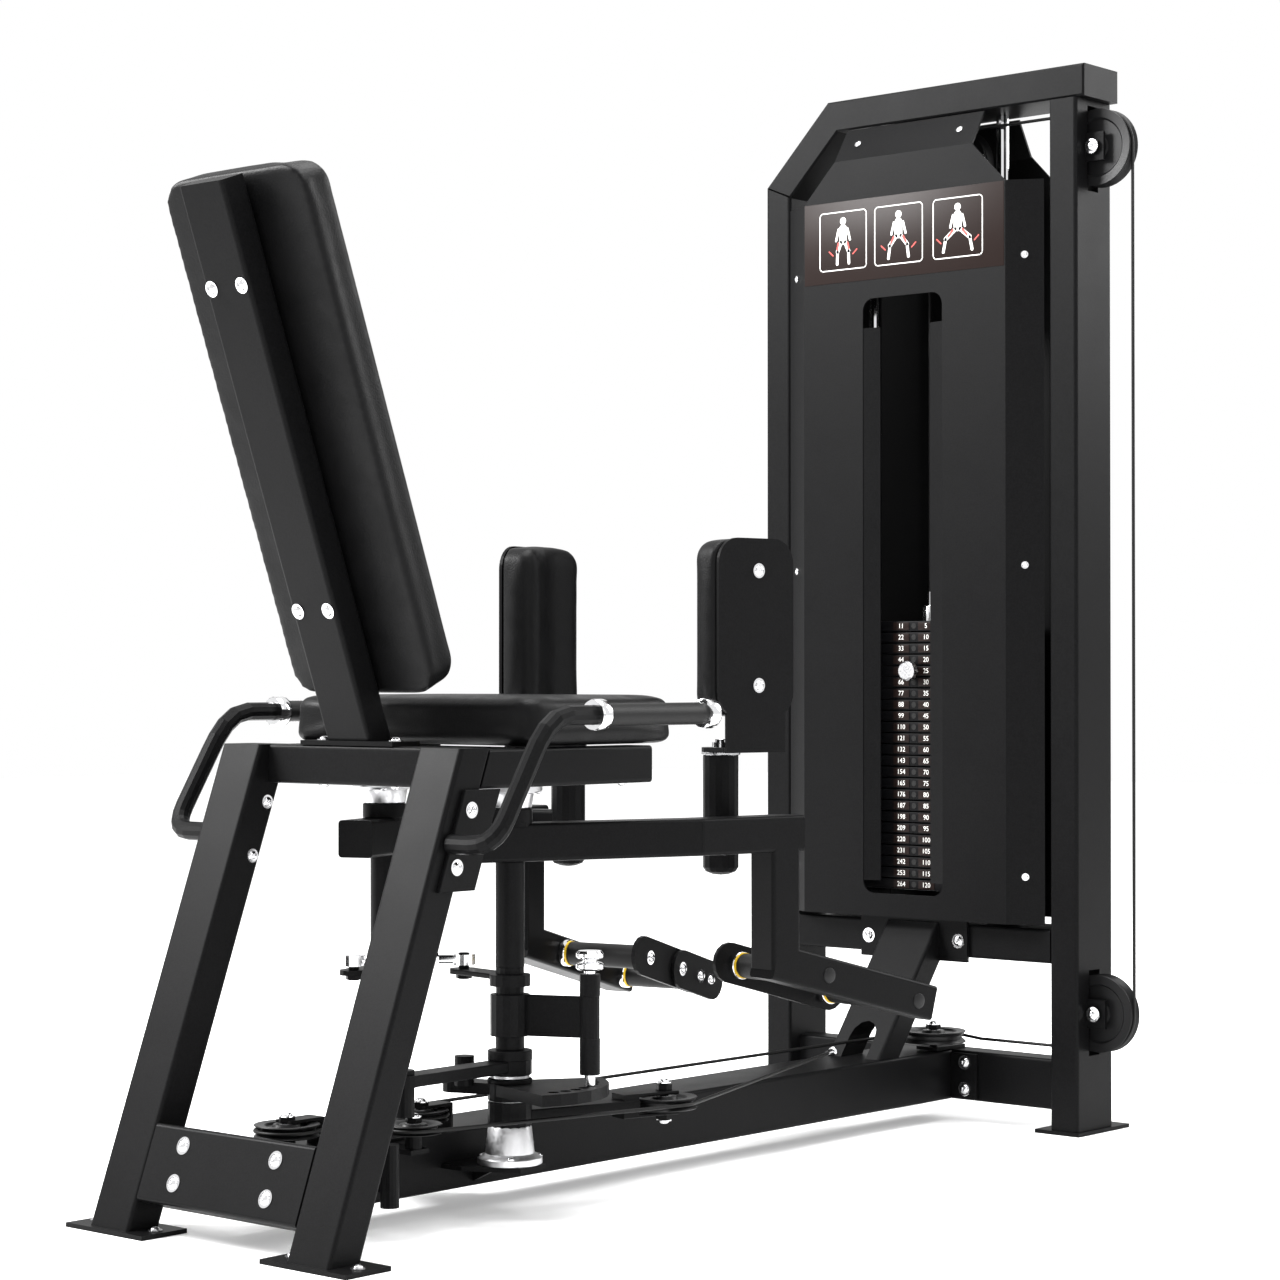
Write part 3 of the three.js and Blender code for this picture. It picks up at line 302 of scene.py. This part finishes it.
WASHER = 1.2
BOLT_HEAD = [(0, 1.6), (2.4, 1.6), (2.9, 4.4), (4.5, 4.2), (6.6, 3.0), (7.8, 1.2), (8.0, 0.0), (11.5, 0.0),
             (11.5, -WASHER), (0, -WASHER)]


def bolts(name, spots, body, slot="bright_chrome", scale=1.0):
    """Domed socket-head bolts on washers, one per (point, outward axis)."""
    form = bmesh.new()
    for position, axis in spots:
        spin(form, [(r * scale, z * scale + WASHER) for r, z in BOLT_HEAD], aim(position, axis), 24)
    bmesh.ops.recalc_face_normals(form, faces=form.faces)
    return as_piece(name, mesh_from(form), body, slot)


# ---- Upholstery --------------------------------------------------------------------------------------------
HELD_DEPTH = 14 * MM  # how much of a pad next to its mounting face the cloth simulation holds still
CLOTH_FRAMES = 20


def settled(piece, kind, **settings):
    """Applies one modifier by taking the piece's evaluated mesh."""
    modifier = piece.modifiers.new(kind.lower(), kind)
    for key, value in settings.items():
        setattr(modifier, key, value)
    bpy.context.view_layer.update()
    data = bpy.data.meshes.new_from_object(piece.evaluated_get(bpy.context.evaluated_depsgraph_get()))
    piece.modifiers.clear()
    piece.data = data


def swell(piece, mount, outward, cap):
    """Inflates a pad as cloth under pressure, held at its mounting face, moving no point further than cap."""
    start = [vert.co.copy() for vert in piece.data.vertices]
    held = piece.vertex_groups.new(name="held")
    held.add([i for i, co in enumerate(start) if (co - mount).dot(outward) < HELD_DEPTH], 1.0, "REPLACE")
    cloth = piece.modifiers.new("cloth", "CLOTH")
    cloth.settings.vertex_group_mass = "held"
    cloth.settings.use_pressure = True
    cloth.settings.uniform_pressure_force = 4.0
    cloth.settings.tension_stiffness = cloth.settings.compression_stiffness = 12
    cloth.settings.effector_weights.gravity = 0
    cloth.point_cache.frame_start, cloth.point_cache.frame_end = 1, CLOTH_FRAMES
    scene = bpy.context.scene
    for number in range(1, CLOTH_FRAMES + 1):
        scene.frame_set(number)
    shaped = piece.evaluated_get(bpy.context.evaluated_depsgraph_get()).to_mesh()
    moved = [vert.co.copy() for vert in shaped.vertices]
    piece.modifiers.clear()
    piece.vertex_groups.clear()
    scene.frame_set(1)
    for vert, before, after in zip(piece.data.vertices, start, moved):
        step = after - before
        vert.co = before + step * min(1.0, cap / max(step.length, 1e-9))


def square_back(form, mount, outward):
    """Carries a pad's full outline down to its mounting face, so that its edge there is square."""
    depths = {vert: (vert.co - mount).dot(outward) for vert in form.verts}
    wide = [vert for vert, depth in depths.items() if 5 * MM < depth < 20 * MM]
    for vert in [vert for vert, depth in depths.items() if depth < 2 * MM]:
        twin = min(wide, key=lambda other: (other.co - vert.co).length)
        vert.co = twin.co - outward * (depths[twin] - depths[vert])


def cushion(name, node, body, mount, outward, cap=3 * MM, hollow=None, square=True):
    """A foam pad made from its CAD solid: rounded, swollen, and flat only on its mounting face."""
    form = bmesh.new()
    form.from_mesh(frame["nodes"][node].data)
    if square:
        square_back(form, mount, outward)
    piece = as_piece(name, mesh_from(form), body, "black_leather")
    settled(piece, "REMESH", mode="VOXEL", voxel_size=5 * MM)
    settled(piece, "SMOOTH", factor=0.5, iterations=5)
    for vert in piece.data.vertices:
        vert.co -= vert.normal * 2 * MM
    swell(piece, mount, outward, cap)
    for vert in piece.data.vertices:
        if hollow:
            vert.co += hollow(vert.co)
        depth = (vert.co - mount).dot(outward)
        if depth < 0:
            vert.co -= outward * depth
    settled(piece, "SMOOTH", factor=0.5, iterations=9)
    settled(piece, "SUBSURF", levels=1, render_levels=1)
    piece.data.polygons.foreach_set("use_smooth", [True] * len(piece.data.polygons))
    piece.data.materials.clear()
    piece.data.materials.append(MATERIALS["black_leather"])
    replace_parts(piece, node)
    return piece


cushion("seat_cushion", "seat_pad", "root", at(0, 0, 615.5), Z, square=False)
back_ahead = Vector((0, math.cos(LEAN), math.sin(LEAN)))
back_face = at(0, -1243, 622) + back_ahead * 47 * MM
cushion("back_cushion", "backrest_pad", "root", back_face, back_ahead)

for side, sign in SIDES:
    out, along = arm_axes(sign)

    def trough(point, spot=pad_post(sign), inward=-out, forward=along):
        """Draws the thigh face in along its upright middle."""
        reach = max(0.0, (point - spot).dot(inward) + 45 * MM) / (26 * MM)
        across = (point - spot).dot(forward) / (34 * MM)
        return -inward * 9 * MM * min(1.0, reach) * math.exp(-across * across)

    plate_face = pad_post(sign) + out * 71.7 * MM
    cushion(f"thigh_cushion_{side}", f"thigh_pad_{side}", f"{side}_pad", plate_face, -out, 2 * MM, trough)


# ---- Pulleys and cables ------------------------------------------------------------------------------------
SIDE_Y, TOP_Z, LOW_Z = 47.5, 1524, 187
INNER_X, SIDE_X = 53, 320
SIDE_GROOVE = 53
# Each sheave's centre, rim radius, groove radius and width, the last three in millimetres.
SHEAVES = {
    "side_top": (at(SIDE_X, SIDE_Y, TOP_Z), 60, SIDE_GROOVE, 24),
    "side_bottom": (at(SIDE_X, SIDE_Y, LOW_Z), 60, SIDE_GROOVE, 24),
    "inner_top": (at(INNER_X, SIDE_Y, TOP_Z), 60, SIDE_GROOVE, 24),
    "base": (at(33, 2.5, 134), 52, 45, 18),
    "front": (at(2, -1350, 134), 42, 36, 16),
    "turn_a": (at(36, -1147, 134), 37, 31, 14),
    "turn_b": (at(92, -1215, 130), 37, 31, 12),
    "drive": (at(187, -835, 132), 45, 39, 16),
}
UPRIGHT = ("side_top", "side_bottom", "inner_top")


def pulley(name, body, axis):
    """A turned plastic sheave with a hub, a web and a round-bottomed groove, and its bearing."""
    centre, radius, groove, width = SHEAVES[name]
    half = width / 2
    rim, web = groove - 7, half - min(4, half / 2)
    side = [(10, half), (17, half), (19, web), (rim - 3, web), (rim, half - 1), (radius - 1, half),
            (radius, half - 1)]
    throat = [(groove + 3.2, 4.2), (groove + 0.8, 2.6), (groove, 0)]
    upper = side + throat
    profile = upper + [(r, -z) for r, z in reversed(upper[:-1])] + [(10, -half)]
    wheel = lathe(f"sheave_{name}", profile, centre, axis, body, "black_plastic", closed=True, segments=72)
    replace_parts(wheel, f"pulley_{name}")
    bearing = [(6.2, -half - 0.6), (10.2, -half - 0.6), (10.2, half + 0.6), (6.2, half + 0.6)]
    lathe(f"bearing_{name}", bearing, centre, axis, body, "bare_steel", closed=True)


for name in SHEAVES:
    pulley(name, "drive_wheel" if name == "drive" else f"wheel_{name}", Y if name in UPRIGHT else Z)

CABLE = 2.5  # radius
CABLE_LIFT = 4.2  # from the bottom of a groove to the middle of the cable


def round_sheave(name, start, stop, count=14):
    """The cable's path round a sheave, from one angle to another in degrees."""
    centre, _, groove, _ = SHEAVES[name]
    reach = groove + CABLE_LIFT
    second = Z if name in UPRIGHT else Y
    turns = (math.radians(start + (stop - start) * i / count) for i in range(count + 1))
    return [centre + (X * math.cos(turn) + second * math.sin(turn)) * reach * MM for turn in turns]


side_reach = SIDE_GROOVE + CABLE_LIFT
lift_x = INNER_X - side_reach
LIFT_FOOT, LIFT_HEAD = at(lift_x, SIDE_Y, 840), at(lift_x, SIDE_Y, TOP_Z)
lift_cable = taut("lift_cord", LIFT_FOOT, LIFT_HEAD, CABLE, "black_rubber")
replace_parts(lift_cable, "lift_cable")
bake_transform(lift_cable)
side_route = [
    *round_sheave("inner_top", 180, 90),
    *round_sheave("side_top", 90, 0),
    *round_sheave("side_bottom", 0, -90),
    at(94, SIDE_Y, LOW_Z - side_reach),
    *round_sheave("base", 75, 180),
    *round_sheave("front", 181.5, 370, 24),
    *round_sheave("turn_a", 190, 8, 24),
    *round_sheave("turn_b", 170, 345, 24),
]
side_cable = tube("side_cord", side_route, CABLE, "root", "black_rubber")
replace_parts(side_cable, "side_cable", "base_cable")
TURN_OFF = round_sheave("turn_b", 345, 345, 1)[0]
drive_wrap = round_sheave("drive", -15, 16, 8)
ANCHOR = at(30, -262, 132)
near_run = taut("drive_cord_near", TURN_OFF, drive_wrap[0], CABLE, "black_rubber")
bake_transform(near_run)
tube("drive_cord_wrap", drive_wrap, CABLE, "drive", "black_rubber")
far_run = taut("drive_cord_far", drive_wrap[-1], ANCHOR, CABLE, "black_rubber")
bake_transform(far_run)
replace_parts(near_run, "drive_cable")
lathe("cable_anchor", [(0, -16), (4, -16), (5, -12), (5, 6), (7, 8), (7, 14), (0, 14)], ANCHOR,
      Vector((-0.28, 0.96, 0)), "root", "bright_chrome")


# ---- Turned parts that show round edges --------------------------------------------------------------------
for side, sign in SIDES:
    start = at(sign * 300, -1085, 658)
    ribs = [(14.6 - (0.7 if i % 2 else 0.0), 3 + i * 2.6) for i in range(72)]
    ribbed = [(0, 0), (14.2, 0), (14.6, 1.5), *ribs, (14.4, 194.7), (0, 194.7)]
    rubber = lathe(f"grip_sleeve_{side}", ribbed, start, Y, "root", "black_rubber")
    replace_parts(rubber, f"grip_{side}")
    cap = [(0, 0), (15, 0), (19, 1.5), (20, 4), (20, 16), (19, 19), (14, 23), (6, 24.2), (0, 24.2)]
    lathe(f"grip_end_{side}", cap, start + Y * 194.9 * MM, Y, "root", "bright_chrome")
    ring = [(12.8, -19), (19, -19), (20.3, -17), (20.3, -3), (19, -0.6), (12.8, -0.6)]
    lathe(f"grip_collar_{side}", ring, start, Y, "root", "bright_chrome", closed=True)

# The rings at each end of a foot peg: profile measured in from that end, and look.
PEG_RINGS = (
    ("collar", [(8.6, 0), (19, 0), (20, 1), (20, 9), (19, 10), (8.6, 10)], "bright_chrome"),
    ("band", [(8.6, 10), (18.6, 10), (18.6, 12.8), (8.6, 12.8)], "yellow_plastic"),
)
for side, sign in SIDES:
    out, _ = arm_axes(sign)
    for label, (reach, _) in (("rear", FOOT_REAR), ("front", FOOT_FRONT)):
        spot = on_foot_bar(sign, reach, -25.3)
        body = f"peg_{label}_{side}"
        sleeve = [(8.6, 13), (17.2, 13), (17.6, 16), (17.6, 127), (17.2, 130), (8.6, 130)]
        roller = lathe(f"peg_sleeve_{label}_{side}", sleeve, spot, -out, body, "black_rubber", closed=True)
        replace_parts(roller, f"foot_peg_{label}_{side}")
        for end, far in ((0, False), (143.4, True)):
            flip = -1 if far else 1
            for kind, profile, slot in PEG_RINGS:
                ring = [(radius, end + flip * height) for radius, height in profile]
                lathe(f"peg_{kind}_{label}_{side}_{int(far)}", ring, spot, -out, body, slot, closed=True)
        plug = [(0, 2.2), (8, 2.2), (10.5, 1.2), (11, 0), (0, 0)]
        plug_at = spot + out * 50.3 * MM
        lathe(f"bar_plug_{label}_{side}", plug, plug_at, out, f"{side}_arm", "black_plastic")


def sleeve(name, low, high, radius, spot, body, slot, bore=None):
    """An upright ring with broken outer edges, between two heights."""
    inner, edge = bore or radius - 4, 0.8
    profile = [(inner, low), (radius - edge, low), (radius, low + edge), (radius, high - edge),
               (radius - edge, high), (inner, high)]
    return lathe(name, profile, spot, Z, body, slot, closed=True, segments=64)


SHAFT_SLEEVES = {
    "right": (("upper", 326, 464), ("lower", 219, 236.5)),
    "left": (("upper", 326, 464), ("lower", 122, 301)),
}
HIGH_HOUSING = [(19.5, 534.2), (27, 534.2), (28.5, 536), (31.4, 553), (41, 555), (42.6, 557), (42.6, 563.4),
                (19.5, 563.4)]
LOW_HOUSING = [(19.5, 70.4), (42.6, 70.4), (42.6, 78), (41, 80), (32.4, 84), (28.6, 118), (27, 120.6),
               (19.5, 120.6)]


def from_axis(axis_at, angle, radius):
    """A point at an angle and a distance in millimetres from an upright axis."""
    return axis_at + Vector((math.cos(angle), math.sin(angle), 0)) * radius * MM


for side, sign in SIDES:
    axis_at = at(sign * 118, -1064, 0)
    arm, turner = f"{side}_arm", "right_arm" if sign > 0 else "left_turn"
    for label, low, high in SHAFT_SLEEVES[side]:
        sleeve(f"shaft_sleeve_{label}_{side}", low, high, 18.9, axis_at, turner, "black_powder_coat")
    sleeve(f"arm_hub_{side}", 515, 533.4, 29.4, axis_at, arm, "black_powder_coat", 19)
    lathe(f"upper_housing_{side}", HIGH_HOUSING, axis_at, Z, "root", "cast_housing", closed=True)
    lathe(f"lower_housing_{side}", LOW_HOUSING, axis_at, Z, "root", "cast_housing", closed=True)
    spots = [from_axis(axis_at, math.radians(45 + 90 * i), 36.5) for i in range(4)]
    bolts(f"lower_housing_bolts_{side}", [(spot + Z * 79 * MM, Z) for spot in spots], "root", scale=0.55)
    bolts(f"upper_housing_bolts_{side}", [(spot + Z * 556 * MM, -Z) for spot in spots], "root", scale=0.55)
    sleeve(f"thigh_ring_{side}", 596.4, 600.6, 27.6, pad_post(sign), f"{side}_pad", "bare_steel", 20)
    knob = [(0, 618.5), (6, 618.5), (8, 617), (8.4, 614.2), (12.4, 614.2), (12.8, 607.2), (0, 607.2)]
    lathe(f"thigh_bolt_{side}", knob, pad_post(sign), Z, f"{side}_pad", "bright_chrome")

right_axis = at(118, -1064, 0)
sleeve("sector_hub", 175.4, 181.2, 29.4, right_axis, "drive", "black_powder_coat", 19)
sleeve("lever_hub", 205.4, 218.2, 29.4, right_axis, "drive", "black_powder_coat", 19)
sleeve("thrust_washer", 181.5, 186.4, 26, right_axis, "drive", "cast_housing", 19)
sleeve("spacer_ring", 151.1, 153, 26, right_axis, "drive", "cast_housing", 19)
FLAG_TURN = math.radians(24)  # of the flag that holds the pull pin, from the right of its shaft
pin_at = from_axis(right_axis, FLAG_TURN, 110)
pin = [(0, 176), (7.3, 176), (7.3, 324), (16, 326), (18, 328), (18, 333), (16, 335), (9, 337), (9, 339),
       (16, 341), (18, 343), (18, 347), (15, 350.5), (0, 351)]
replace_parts(lathe("start_pin_knob", pin, pin_at, Z, "pin_slider", "bright_chrome"), "pull_pin")
sleeve("pin_tube_upper", 291.5, 320.4, 13.5, pin_at, "right_arm", "black_powder_coat", 7.9)
sleeve("pin_tube_lower", 189.8, 236.8, 13.5, pin_at, "right_arm", "black_powder_coat", 7.9)


# ---- Weight stack ------------------------------------------------------------------------------------------
PITCH, FIRST, PLATES, LIFTED = 18, 364, 24, 5
FRONT_Y = -4
HALF_WIDTH = 149.6
LEFT_STEP, RIGHT_STEP = 11, 5  # what one more plate adds to the figures on its left and right labels


def plates(name, first, count, body, node):
    """A run of plates as one piece, with their label strips, and dark discs painting the shade of their
    selector holes, as two more.
    """
    form = bmesh.new()
    for i in range(first, first + count):
        low = FIRST + i * PITCH
        block(form, at(-HALF_WIDTH, FRONT_Y + 0.2, low + 0.8), at(HALF_WIDTH, 111.6, low + 17), 1.5 * MM)
    piece = as_piece(name, mesh_from(form), body, "stack_paint")
    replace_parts(piece, node)
    strips = bmesh.new()
    hole_shade = bmesh.new()
    for i in range(first, first + count):
        low = FIRST + i * PITCH
        for near, far in ((-40, -9), (9, 40)):
            block(strips, at(near, FRONT_Y - 0.6, low + 2.6), at(far, FRONT_Y + 1, low + 15.2), 0.3 * MM)
        # Each selector hole is painted shade: a dark matte disc on the plate face, with no hole cut.
        if i != PLATES - LIFTED:
            spin(hole_shade, [(0, 0.3), (4.4, 0.3), (5, -0.6), (0, -0.6)], aim(at(0, FRONT_Y, low + 9), -Y), 20)
    as_piece(name + "_labels", mesh_from(strips), body, "label_film")
    as_piece(name + "_hole_shade", mesh_from(hole_shade), body, "stack_paint", HOLE_SHADE)


def lettering(name, words, size, body):
    """Flat printed figures facing the seat, as one mesh."""
    form = bmesh.new()
    for word, spot in words:
        data = bpy.data.curves.new("word", "FONT")
        data.body, data.size = word, size * MM
        data.align_x, data.align_y = "CENTER", "CENTER"
        data.resolution_u = 3
        text = bpy.data.objects.new("word", data)
        bpy.context.scene.collection.objects.link(text)
        bpy.context.view_layer.update()
        flat = bpy.data.meshes.new_from_object(text.evaluated_get(bpy.context.evaluated_depsgraph_get()))
        flat.transform(Matrix.Translation(spot) @ Matrix.Rotation(math.pi / 2, 4, "X"))
        form.from_mesh(flat)
        bpy.data.objects.remove(text)
    return as_piece(name, mesh_from(form), body, "label_film", PRINT, smooth=False)


def numbers(name, first, count, body):
    words = []
    for i in range(first, first + count):
        step = PLATES - i
        height = FIRST + i * PITCH + 9
        words.append((str(LEFT_STEP * step), at(-24.5, FRONT_Y - 0.9, height)))
        words.append((str(RIGHT_STEP * step), at(24.5, FRONT_Y - 0.9, height)))
    return lettering(name, words, 11, body)


plates("plates_resting", 0, PLATES - LIFTED, "root", "weight_stack_resting")
plates("plates_lifted", PLATES - LIFTED, LIFTED, "weight_carriage", "weight_stack_lifted")
numbers("numbers_resting", 0, PLATES - LIFTED, "root")
numbers("numbers_lifted", PLATES - LIFTED, LIFTED, "weight_carriage")
stem = [(0, 796), (16, 796), (16, 818), (14, 821), (8, 822), (8, 843), (6, 844), (0, 844)]
lathe("lift_stem", stem, at(0, SIDE_Y, 0), Z, "weight_carriage", "bright_chrome")


# ---- Bolts and screws --------------------------------------------------------------------------------------
lean_face = Vector((0, -math.cos(LEAN), math.sin(LEAN)))


def leg_face(x, z):
    """A point on the leaning front face of the legs and the cross tube."""
    return at(x, -1484 + (z - 6) * math.tan(LEAN), z)


bolts("cross_tube_bolts", [(leg_face(x, z), lean_face) for x in (-86, 86) for z in (71, 116)], "root")
rearward = Vector((0, -math.cos(LEAN), -math.sin(LEAN)))
back_spots = [at(x, -1243 - (z - 622) * math.tan(LEAN), z) for x in (-28, 28) for z in (790, 1190)]
bolts("backrest_bolts", [(spot, rearward) for spot in back_spots], "root", scale=0.9)
bolts("backrest_plate_bolts", [(at(x, -1222, 623.3), Z) for x in (-66, 66)], "root", scale=0.9)
bolts("backrest_plate_nuts", [(at(x, -1222, 566), -Z) for x in (-66, 66)], "root", scale=0.7)
gusset_spots = ((-1250, 541), (-1276, 471))
for side, sign in SIDES:
    outward = X * sign
    for kind, x, facing, scale in (("bolts", 229.3, outward, 0.9), ("nuts", 148, -outward, 0.8)):
        spots = [(at(sign * x, y, z), facing) for y, z in gusset_spots]
        bolts(f"gusset_{kind}_{side}", spots, "root", scale=scale)
    bolts(f"side_beam_bolt_{side}", [(at(sign * 198, -935, 566), -Z)], "root", scale=0.7)
    out, along = arm_axes(sign)
    plate_at = pad_post(sign) + out * 77 * MM + along * 4 * MM
    spots = [(plate_at + Z * z * MM, out) for z in (694, 853)]
    bolts(f"thigh_plate_bolts_{side}", spots, f"{side}_pad", scale=0.9)
    foot_plate_spots = ((FOOT_REAR[0], -175), (164, -180.5), (219, -180.5), (FOOT_FRONT[0], -180.5))
    spots = [(on_foot_bar(sign, reach, aside), -out) for reach, aside in foot_plate_spots]
    bolts(f"foot_plate_bolts_{side}", spots, f"{side}_arm", scale=0.9)
bolts("brace_flange_bolts", [(at(x, -6, 288), -Y) for x in (-88, 88)], "root")
flange = bmesh.new()
for sign in (-1, 1):
    block(flange, at(sign * 79.5 - 24.8, 19, 36), at(sign * 79.5 + 24.8, 24.8, 108), 1 * MM)
as_piece("base_end_flange", mesh_from(flange), "root", "black_powder_coat")
bolts("base_flange_bolts", [(at(x, 19, z), -Y) for x in (-82, 82) for z in (52, 94)], "root")
side_spots = ((SIDE_X, TOP_Z), (SIDE_X, LOW_Z), (INNER_X, TOP_Z))
bolts("side_pulley_bolts", [(at(x, SIDE_Y - 26, z), -Y) for x, z in side_spots], "root")
pin_tops = ((33, 2.5, 152), (2, -1350, 151), (36, -1147, 151), (92, -1215, 144))
bolts("pulley_pin_bolts", [(at(*top), Z) for top in pin_tops], "root", scale=0.9)
bolts("drive_pulley_bolts", [(at(187, -835, 158), Z), (at(187, -835, 108), -Z)], "drive", scale=0.9)
bevel_out = Vector((30, -52, 0)).normalized()


def bevel_screws(y, ahead):
    """Three screws up each slanting corner of a cover, facing the seat (1) or away from it (-1)."""
    return [(at(sign * 224, y, z), Vector((bevel_out.x * sign, bevel_out.y * ahead, 0)))
            for sign in (-1, 1) for z in (396, 879, 1361)]


lip_out = Vector((0, -55.5, 35)).normalized()
lip_screws = [(at(x, -17.5, 1570.3), lip_out) for x in (-100, 100)]
bolts("shroud_screws", bevel_screws(-20, 1) + lip_screws, "root", scale=0.5)
bolts("rear_cover_screws", bevel_screws(120, -1), "root", scale=0.5)
foot_spots = [(sign * x, y) for sign in (-1, 1) for x, y in ((128, -1455), (243, -1455), (243, 122))]
bolts("foot_bolts", [(at(x, y, 6), Z) for x, y in foot_spots], "root", slot="bare_steel", scale=0.8)


# ---- Printed label -----------------------------------------------------------------------------------------
LABEL_Y = -35
label = block(bmesh.new(), at(-196, LABEL_Y - 0.7, 1345), at(196, LABEL_Y + 0.5, 1477), 0.3 * MM)
as_piece("label_plate", mesh_from(label), "root", "label_film")


def flat_form(form, outline):
    """A thin printed shape facing the seat, from an outline of (x, z) millimetres."""
    corners = [form.verts.new(at(x, LABEL_Y - 1.0, z)) for x, z in outline]
    form.faces.new(corners)


def disc(form, x, z, radius, count=24):
    turns = [math.tau * i / count for i in range(count)]
    flat_form(form, [(x + radius * math.cos(turn), z + radius * math.sin(turn)) for turn in turns])


def stroke(form, start, end, width):
    """A limb: a straight bar with round ends."""
    (x0, z0), (x1, z1) = start, end
    heading = math.atan2(z1 - z0, x1 - x0)
    half = width / 2
    tips = []
    for (x, z), base in ((start, heading + math.pi / 2), (end, heading - math.pi / 2)):
        turns = [base + math.pi * i / 8 for i in range(9)]
        tips += [(x + half * math.cos(turn), z + half * math.sin(turn)) for turn in turns]
    flat_form(form, tips)


def frame_outline(form, x, z, width, height, line):
    """A rectangle of strokes with its corners cut off."""
    cut = 4
    for sign in (-1, 1):
        edge_x, edge_z = x + sign * width / 2, z + sign * height / 2
        stroke(form, (edge_x, z - height / 2 + cut), (edge_x, z + height / 2 - cut), line)
        stroke(form, (x - width / 2 + cut, edge_z), (x + width / 2 - cut, edge_z), line)
        for up in (-1, 1):
            corner_end = (x + sign * (width / 2 - cut), z + up * height / 2)
            stroke(form, (edge_x, z + up * (height / 2 - cut)), corner_end, line)


def figure(white, red, x, z, spread):
    """A plain seated figure from the front, legs turned out by spread, with the worked muscles marked."""
    disc(white, x, z + 33, 6)
    stroke(white, (x, z + 20), (x, z + 2), 15)
    for sign in (-1, 1):
        stroke(white, (x + sign * 9, z + 20), (x + sign * 14, z + 2), 4)
        knee = (x + sign * (8 + spread), z - 16)
        stroke(white, (x + sign * 5, z - 2), knee, 7)
        stroke(white, knee, (knee[0] + sign * spread * 0.3, z - 36), 5)
        stroke(red, (x + sign * 9, z - 3), ((x + sign * 12 + knee[0]) / 2, z - 12), 4)
        stroke(red, (knee[0] + sign * 9, z - 22), (knee[0] + sign * 17, z - 15), 2.2)


white, red = bmesh.new(), bmesh.new()
for x, spread in ((-117, 3), (-6, 9), (109, 15)):
    frame_outline(white, x, 1413, 94, 94, 1.7)
    figure(white, red, x, 1412, spread)
red.transform(Matrix.Translation((0, -0.2 * MM, 0)))
as_piece("label_print", mesh_from(white), "root", "label_film", PRINT, smooth=False)
as_piece("label_accents", mesh_from(red), "root", "label_film", ACCENT, smooth=False)


# ---- Camera, floor and light -------------------------------------------------------------------------------
def stage_and_light():
    """The photo's camera, solved from straight edges of the frame, with white paper and four soft lamps."""
    scene = bpy.context.scene
    camera = bpy.data.objects.new("camera", bpy.data.cameras.new("camera"))
    camera.data.lens = 84.65
    camera.data.sensor_width = 36
    camera.data.clip_end = 60
    camera.location = at(2842.6, -3922.6, 707.5)
    camera.rotation_euler = (math.radians(90.679), 0, math.radians(41.154))
    scene.collection.objects.link(camera)
    scene.camera = camera

    floor_form = bmesh.new()
    bmesh.ops.create_grid(floor_form, x_segments=2, y_segments=2, size=14)
    floor = bpy.data.objects.new("floor", mesh_from(floor_form))
    paper = bpy.data.materials.new("paper")
    paper.use_nodes = True
    shader = paper.node_tree.nodes["Principled BSDF"]
    shader.inputs["Base Color"].default_value = (0.9, 0.9, 0.9, 1)
    shader.inputs["Roughness"].default_value = 0.9
    shader.inputs["Emission Color"].default_value = (1, 1, 1, 1)
    shader.inputs["Emission Strength"].default_value = 0.25
    floor.data.materials.append(paper)
    scene.collection.objects.link(floor)

    world = bpy.data.worlds.new("studio")
    world.use_nodes = True
    world.node_tree.nodes["Background"].inputs["Color"].default_value = (1, 1, 1, 1)
    world.node_tree.nodes["Background"].inputs["Strength"].default_value = 1.0
    scene.world = world

    target = at(0, -650, 800)
    for name, place, size, power in (
        ("key", (-3200, -3600, 3500), 2.0, 560), ("fill", (3800, -1600, 2400), 2.6, 25),
        ("rim", (1800, 3200, 2800), 2.4, 130), ("top", (200, -700, 4200), 3.0, 260),
    ):
        light = bpy.data.lights.new(name, "AREA")
        light.size, light.energy = size, power
        lamp = bpy.data.objects.new(name, light)
        lamp.location = at(*place)
        lamp.rotation_euler = (target - lamp.location).to_track_quat("-Z", "Y").to_euler()
        scene.collection.objects.link(lamp)
    scene.view_settings.view_transform = "Standard"


stage_and_light()
bpy.context.view_layer.update()
